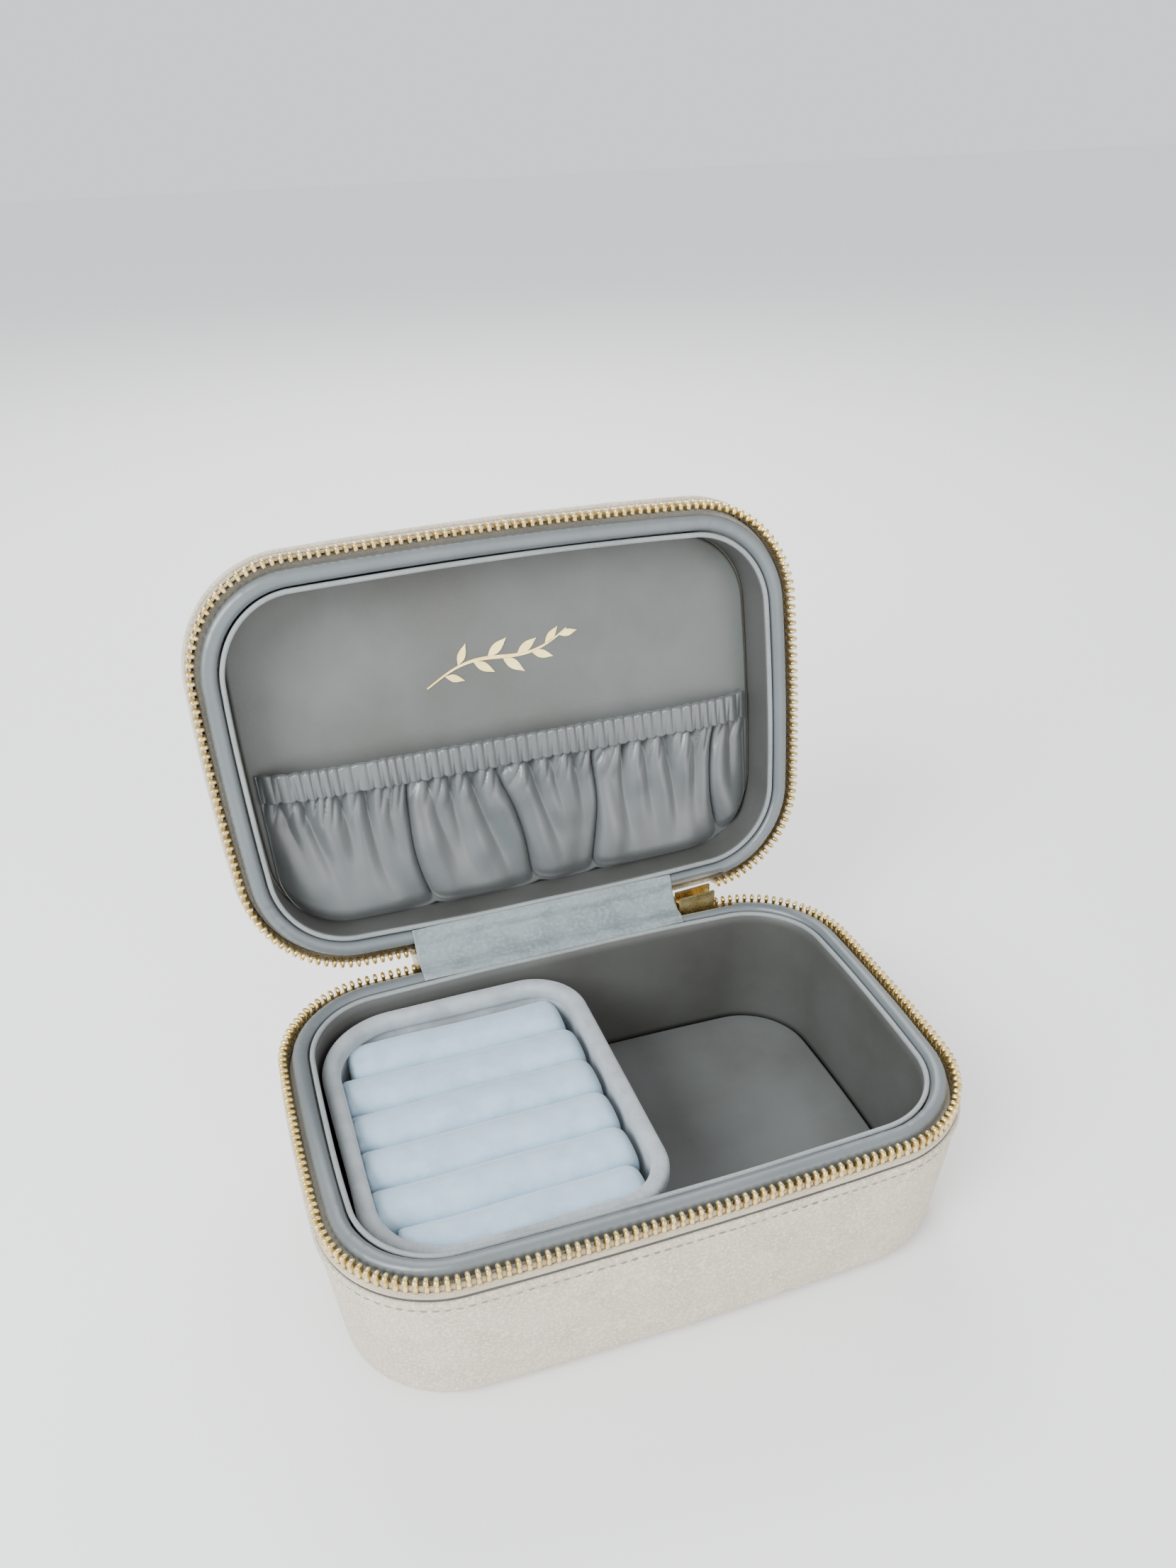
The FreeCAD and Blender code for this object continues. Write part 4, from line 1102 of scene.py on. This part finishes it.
pocket = {
    "halfWide": 77.0 * mm, "mouth": 61 * mm, "header": 8.4 * mm, "foot": 9.6 * mm,
    "panel": 16 * mm, "corner": 21 * mm, "lift": 5.0 * mm,
    "ridge": 3.25 * mm, "ridgeHeight": 1.05 * mm, "lean": 0.3,
    # folds as (x at the top, x at the foot, depth): the deep ones reach the foot
    "deep": [(-36, -31, 1.0), (-7, 3.5, 1.0), (24.5, 23, 1.0), (65, 66, 0.9)],
    "small": [(-71, -67, 0.6), (-65, -59, 0.9), (-56, -51, 0.8), (-48, -43, 1.0),
              (-41, -37, 0.6), (-28, -22, 0.7), (-23, -16, 0.9), (-15, -7, 1.0),
              (-2, 5, 0.5), (4, 11, 0.9), (11, 14, 0.7), (18, 19, 0.8), (30, 29, 0.6),
              (35, 33, 1.0), (42, 42, 0.9), (49, 50, 1.0), (57, 58, 0.7), (71, 72, 0.8)],
}


def ridgeWave(x, down):
    # rounded ridges with sharp valleys and an uneven pitch
    drift = smoothNoise(x + 1, x * 0, 11 * mm, 101) * 0.5
    phase = (x + pocket["lean"] * down) / pocket["ridge"] + drift
    size = 0.78 + 0.22 * smoothNoise(x + 1, x * 0, 4 * mm, 102)
    return np.abs(np.sin(math.pi * phase)) ** 0.75 * size


def foldField(x, t, folds, wander):
    # signed distance of every place from each fold line, with the fold's depth
    for top, foot, depth in folds:
        line = (top + (foot - top) * t) * mm + wander * np.sin(5 * t + top)
        yield x - line, depth


def pocketShape(x, t, reach):
    # lift off the panel and shift along it; t runs from the header down to the foot
    side = 1 - (np.abs(x) / pocket["halfWide"]) ** 10
    belly = np.sin(math.pi * np.clip(t, 0, 1) ** 0.85)
    lift = (pocket["lift"] + 2.4 * mm * belly) * side
    shift = 0 * lift
    for near, depth in foldField(x, t, pocket["deep"], 1.3 * mm):
        grow = smoothStep(-0.1, 0.22, t) * depth
        lift = lift - grow * 5.4 * mm * np.exp(-np.abs(near / (2.3 * mm)) ** 1.3)
        lift = lift - grow * 2.4 * mm * np.exp(-((near + 6 * mm) / (4.5 * mm)) ** 2) * t
        lift = lift + grow * 1.2 * mm * np.exp(-((near - 4.5 * mm) / (3.2 * mm)) ** 2)
        shift = shift - grow * 1.9 * mm * np.exp(-((near - 2.2 * mm) / (2.2 * mm)) ** 2)
    for near, depth in foldField(x, t, pocket["small"], 0.9 * mm):
        wide = (1.5 + 4.0 * t) * mm
        fade = (1 - smoothStep(0.1 + 0.3 * depth, 0.5 + 0.5 * depth, t)) * depth
        lift = lift - fade * 3.9 * mm * np.exp(-np.abs(near / wide) ** 1.6)
    fine = (ridgeWave(x, t * reach) - 0.5) * pocket["ridgeHeight"] * 1.7
    lift = lift + fine * (1 - smoothStep(0.02, 0.3, t))
    lift = lift + smoothNoise(x + 1, t * reach + 0.5, 8 * mm, 103) * 0.5 * mm * belly
    ease = 1 - 0.93 * smoothStep(0.84, 1.0, t) ** 1.5
    return np.maximum(lift * ease, 0.4 * mm), shift * ease


def pocketFoot(x):
    # where the foot of the pocket meets the lining, as a distance from the hinge axis
    flat = pocket["halfWide"] - pocket["corner"]
    past = np.clip((np.abs(x) - flat) / pocket["corner"], 0, 1)
    foot = pocket["foot"] + pocket["corner"] * (1 - np.sqrt(1 - past ** 2 * 0.9999))
    for _, at, depth in pocket["deep"]:
        foot = foot + depth * 1.7 * mm * np.exp(-np.abs(x - at * mm) / (5 * mm))
    return foot


def lidPoints(x, down, lift):
    # from pocket coordinates to rim coordinates of the closed lid
    points = np.zeros(x.shape + (3,))
    points[..., 0] = x
    points[..., 1] = hingeY - (pocket["mouth"] - down)
    points[..., 2] = pocket["panel"] - lift
    return points


def pocketSatin():
    across, rows = 440, 84
    x = np.linspace(-pocket["halfWide"], pocket["halfWide"], across)[:, None]
    t = np.linspace(0, 1, rows)[None, :]
    start = pocket["header"] - 1.4 * mm
    reach = pocket["mouth"] - pocketFoot(x) - start
    down = start + reach * t
    x = x + t * 0
    lift, shift = pocketShape(x, t, reach)
    points = lidPoints(x + shift, down, lift)
    piece = gridPiece("pocketSatin", points, x[:, 0] * 1.4, down[across // 2],
                      looks["pocket"])
    piece.data.transform(toLid)
    thicken(piece, 0.3 * mm, -1)
    settle(piece, "lid", "satin", "lid_pocket")


def pocketHeader():
    # a folded casing round the elastic, ruched all the way along
    x = np.linspace(-pocket["halfWide"], pocket["halfWide"], 700)[:, None]
    tall = pocket["header"]
    loop = softLoop([(0, -0.8 * mm), (tall, -0.5 * mm), (tall, 0.5 * mm), (0, 0.8 * mm)],
                    0.8 * mm, 6)
    down, thick = loop[:, 0][None, :], loop[:, 1][None, :]
    x = x + down * 0
    side = 1 - (np.abs(x) / pocket["halfWide"]) ** 10
    ridge = (ridgeWave(x, down - tall) - 0.4) * pocket["ridgeHeight"] * 2
    share = np.clip(down / tall, 0, 1)
    hold = 0.3 + 0.7 * np.sin(math.pi * share ** 0.9) ** 0.5
    lift = (pocket["lift"] + 0.5 * mm + 0.5 * mm * np.sin(math.pi * share)) * side + 0.6 * mm
    lift = lift + thick + np.where(thick > 0, 1.0, 0.6) * ridge * hold
    edge = smoothStep(2.2 * mm, 0, down) + smoothStep(tall - 1.5 * mm, tall, down)
    sway = (ridgeWave(x, down - tall) - 0.5) * 0.7 * mm * edge
    points = lidPoints(x, down - sway * np.sign(tall / 2 - down), lift)
    piece = gridPiece("pocketHeader", points, x[:, 0] * 1.4, runLength(loop), looks["pocket"],
                      False, True, "ends")
    piece.data.transform(toLid)
    settle(piece, "lid", "satin", "lid_pocket_elastic", fill=0.6)


pocketSatin()
pocketHeader()
say("pocket")


# Foil sprig on the lid's panel: a curved stem with pointed leaves

sprig = {"left": -23.5 * mm, "right": 20.5 * mm, "low": 77.5 * mm, "rise": 12 * mm,
         "thick": 0.12 * mm, "leaves": 9, "leafLong": 8.2 * mm, "leafWide": 2.5 * mm}


def foilShape(outline):
    # the front and the back of a plate on the panel; outline: x, distance from the hinge axis
    x, reach = np.asarray(outline).T
    return [lidPoints(x, pocket["mouth"] - reach, x * 0 + lift)
            for lift in (0.45 * mm + sprig["thick"], 0.05 * mm)]


def sprigStem(t):
    x = sprig["left"] + (sprig["right"] - sprig["left"]) * t
    reach = sprig["low"] + sprig["rise"] * (t ** 1.1) + 2.6 * mm * np.sin(math.tau * t * 0.95)
    return np.array((x, reach))


def foilSprig():
    along = np.linspace(0, 1, 60)
    line = np.array([sprigStem(t) for t in along])
    tangent = np.gradient(line, axis=0)
    tangent /= np.linalg.norm(tangent, axis=1)[:, None]
    normal = np.stack((-tangent[:, 1], tangent[:, 0]), -1)
    wide = (0.22 + 0.3 * np.sin(math.pi * along) ** 2)[:, None] * mm
    outlines = [np.vstack((line + normal * wide, (line - normal * wide)[::-1]))]
    for index in range(sprig["leaves"]):
        t = 0.12 + 0.82 * index / (sprig["leaves"] - 1)
        at = round(t * 59)
        turn = math.atan2(tangent[at, 1], tangent[at, 0])
        side = 1 if index % 2 else -1
        turn += side * math.radians(48 - 30 * t)
        size = 1 - 0.35 * abs(2 * t - 1)
        leaf = []
        for step in range(40):
            angle = math.tau * step / 40
            long = (1 + math.cos(angle)) / 2
            across = math.sin(angle) * (math.sin(math.pi * long ** 0.8) * 0.5 + 0.08)
            u = long * sprig["leafLong"] * size + 0.6 * mm
            v = (across + 0.12 * long * long * side) * sprig["leafWide"] * size
            leaf.append(line[at] + (u * math.cos(turn) - v * math.sin(turn),
                                    u * math.sin(turn) + v * math.cos(turn)))
        outlines.append(leaf)
    points, faces = [], []
    for outline in outlines:
        face, back = foilShape(outline)
        first, count = len(points), len(outline)
        points += list(face) + list(back)
        faces.append(tuple(first + k for k in range(count)))
        faces.append(tuple(first + count + k for k in reversed(range(count))))
        faces += [(first + k, first + (k + 1) % count, first + count + (k + 1) % count,
                   first + count + k) for k in range(count)]
    piece = outwardFaces(meshPiece("foilSprig", points, faces, None, looks["foil"]))
    shade(piece.data, False)
    piece.data.transform(toLid)
    settle(piece, "lid", "zip_metal")


foilSprig()
say("sprig")


# Hinge strip inside, and its outer twin along the back

strip = {"left": -42 * mm, "right": 43 * mm, "thick": 0.45 * mm}


def bentStrip(name, line, left, right, material, thick, wrinkle, seed):
    # line: (y, z) points of the open case, from the base's side to the lid's
    path = np.array(line)
    length = runLength(path)
    t = np.linspace(0, length[-1], 60)
    smooth = np.stack([np.interp(t, length, path[:, axis]) for axis in (0, 1)], -1)
    for _ in range(14):
        smooth[1:-1] = (smooth[:-2] + 2 * smooth[1:-1] + smooth[2:]) / 4
    tangent = np.gradient(smooth, axis=0)
    tangent /= np.linalg.norm(tangent, axis=1)[:, None]
    normal = np.stack((tangent[:, 1], -tangent[:, 0]), -1)
    x = np.linspace(left, right, 170)[:, None]
    v = t[None, :]
    wave = smoothNoise((x + 1) * 0.16, v, 1.1 * mm, seed) * wrinkle
    wave = wave + smoothNoise((x + 1) * 0.5, v, 3 * mm, seed + 1) * wrinkle * 0.8
    wave = wave * smoothStep(0, 1.2 * mm, v) * smoothStep(t[-1], t[-1] - 1.2 * mm, v)
    points = np.zeros((len(x), len(t), 3))
    points[..., 0] = x
    points[..., 1:] = smooth[None] + normal[None] * wave[..., None]
    piece = gridPiece(name, points, x[:, 0], t, material)
    thicken(piece, thick, 0)
    piece.data = evaluatedMesh(piece)
    return outwardFaces(piece), t[-1]


def atLid(y, drop):
    # where a place of the closed lid lies while the lid stands open
    spot = toLid @ Vector((0, y, drop))
    return spot.y, spot.z


def hingeStrip():
    deep = zipLine["halfDeep"]
    line = [(deep - 7.9 * mm, rimZ - 1.3 * mm), (deep - 6.6 * mm, rimZ - 0.45 * mm),
            (deep - 5.0 * mm, rimZ - 0.1 * mm), (deep - 2.6 * mm, rimZ - 0.1 * mm),
            (deep - 0.4 * mm, rimZ + 0.9 * mm), (hingeY - 0.6 * mm, rimZ + 2.4 * mm),
            atLid(deep - 2.6 * mm, 0.15 * mm), atLid(deep - 5.0 * mm, 0.05 * mm),
            atLid(deep - 6.6 * mm, 0.4 * mm), atLid(deep - 7.9 * mm, 1.3 * mm)]
    piece, long = bentStrip("hingeStrip", line, strip["left"], strip["right"],
                            looks["strip"], strip["thick"], 0.16 * mm, 111)
    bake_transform(piece)
    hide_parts("hinge_strip_base", "hinge_strip_lid")


def hingeSpine():
    out = zipLine["halfDeep"] + 0.1 * mm
    top = cover["top"]
    line = [(out, rimZ - top - 2.5 * mm), (out, rimZ - top), (out, rimZ - 3 * mm),
            (out + 0.2 * mm, rimZ - 0.8 * mm), (hingeY + 0.2 * mm, rimZ + 0.2 * mm),
            atLid(out - 0.2 * mm, 0.8 * mm), atLid(out, 3 * mm), atLid(out, top),
            atLid(out, top + 2.5 * mm)]
    piece, long = bentStrip("hingeSpine", line, strip["left"] - 1.5 * mm,
                            strip["right"] + 1 * mm, looks["cover"], 0.5 * mm, 0.08 * mm, 121)
    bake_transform(piece)


hingeStrip()
hingeSpine()
say("hinge")


# Carried-over metal and hidden pieces keep their own shape and get their finish

finishes = {
    "gold": ("base_zip_top_stop", "lid_zip_top_stop", "zip_slider", "zip_slider_bail",
             "zip_pull_ring", "zip_pull_tab"),
    "edge": ("base_zip_tape", "lid_zip_tape"),
    "board": ("base_bottom_board", "lid_top_board"),
}
for look, names in finishes.items():
    for name in names:
        node = frame["nodes"][name]
        node.data.materials.clear()
        node.data.materials.append(looks[look])


# Floor, light and camera

def stageAndLight():
    mesh = bpy.data.meshes.new("floor")
    far = 3.0
    mesh.from_pydata([(-far, -far, 0), (far, -far, 0), (far, far, 0), (-far, far, 0)], [],
                     [(0, 1, 2, 3)])
    floor = addObject("floor", mesh)
    material, _, _ = newMaterial("paleFloor", Base_Color=(0.93, 0.93, 0.93, 1),
                                 Roughness=0.9)
    mesh.materials.append(material)
    world = bpy.data.worlds.new("studio")
    world.use_nodes = True
    background = world.node_tree.nodes["Background"]
    background.inputs["Color"].default_value = (0.95, 0.97, 1.0, 1)
    background.inputs["Strength"].default_value = 1.15
    bpy.context.scene.world = world
    lights = (
        ("window", (-0.75, -0.45, 0.75), 0.6, 17.0, (0.93, 0.97, 1.0)),
        ("behind", (0.15, 0.85, 0.85), 0.7, 10.0, (1.0, 0.99, 0.97)),
        ("frontFill", (0.35, -0.95, 0.35), 0.8, 4.0, (1.0, 0.95, 0.9)),
    )
    target = Vector((0, 0.02, 0.06))
    for name, spot, size, power, tint in lights:
        data = bpy.data.lights.new(name, "AREA")
        data.shape = "DISK"
        data.size = size
        data.energy = power
        data.color = tint
        light = addObject(name, data)
        light.location = spot
        light.rotation_euler = (target - Vector(spot)).to_track_quat("-Z", "Y").to_euler()


camera = {
    "azimuth": -19.404, "elevation": 39.231, "roll": -0.933, "distance": 352 * mm,
    "target": (8.86 * mm, 29 * mm), "lens": 26.98, "shift": (-0.0129, 0.1276),
}


def placeCamera():
    turn, rise = math.radians(camera["azimuth"]), math.radians(camera["elevation"])
    back = Vector((math.sin(turn) * math.cos(rise), -math.cos(turn) * math.cos(rise),
                   math.sin(rise)))
    side = Vector((0, 0, 1)).cross(back).normalized()
    up = back.cross(side)
    roll = math.radians(camera["roll"])
    right = side * math.cos(roll) + up * math.sin(roll)
    top = up * math.cos(roll) - side * math.sin(roll)
    spot = Vector((*camera["target"], rimZ)) + back * camera["distance"]
    data = bpy.data.cameras.new("camera")
    data.lens = camera["lens"]
    data.sensor_width = 36
    data.shift_x, data.shift_y = camera["shift"]
    data.clip_start = 0.01
    view = addObject("camera", data)
    matrix = Matrix((right, top, back)).transposed().to_4x4()
    matrix.translation = spot
    view.matrix_world = matrix
    bpy.context.scene.camera = view


stageAndLight()
placeCamera()
say("stage")
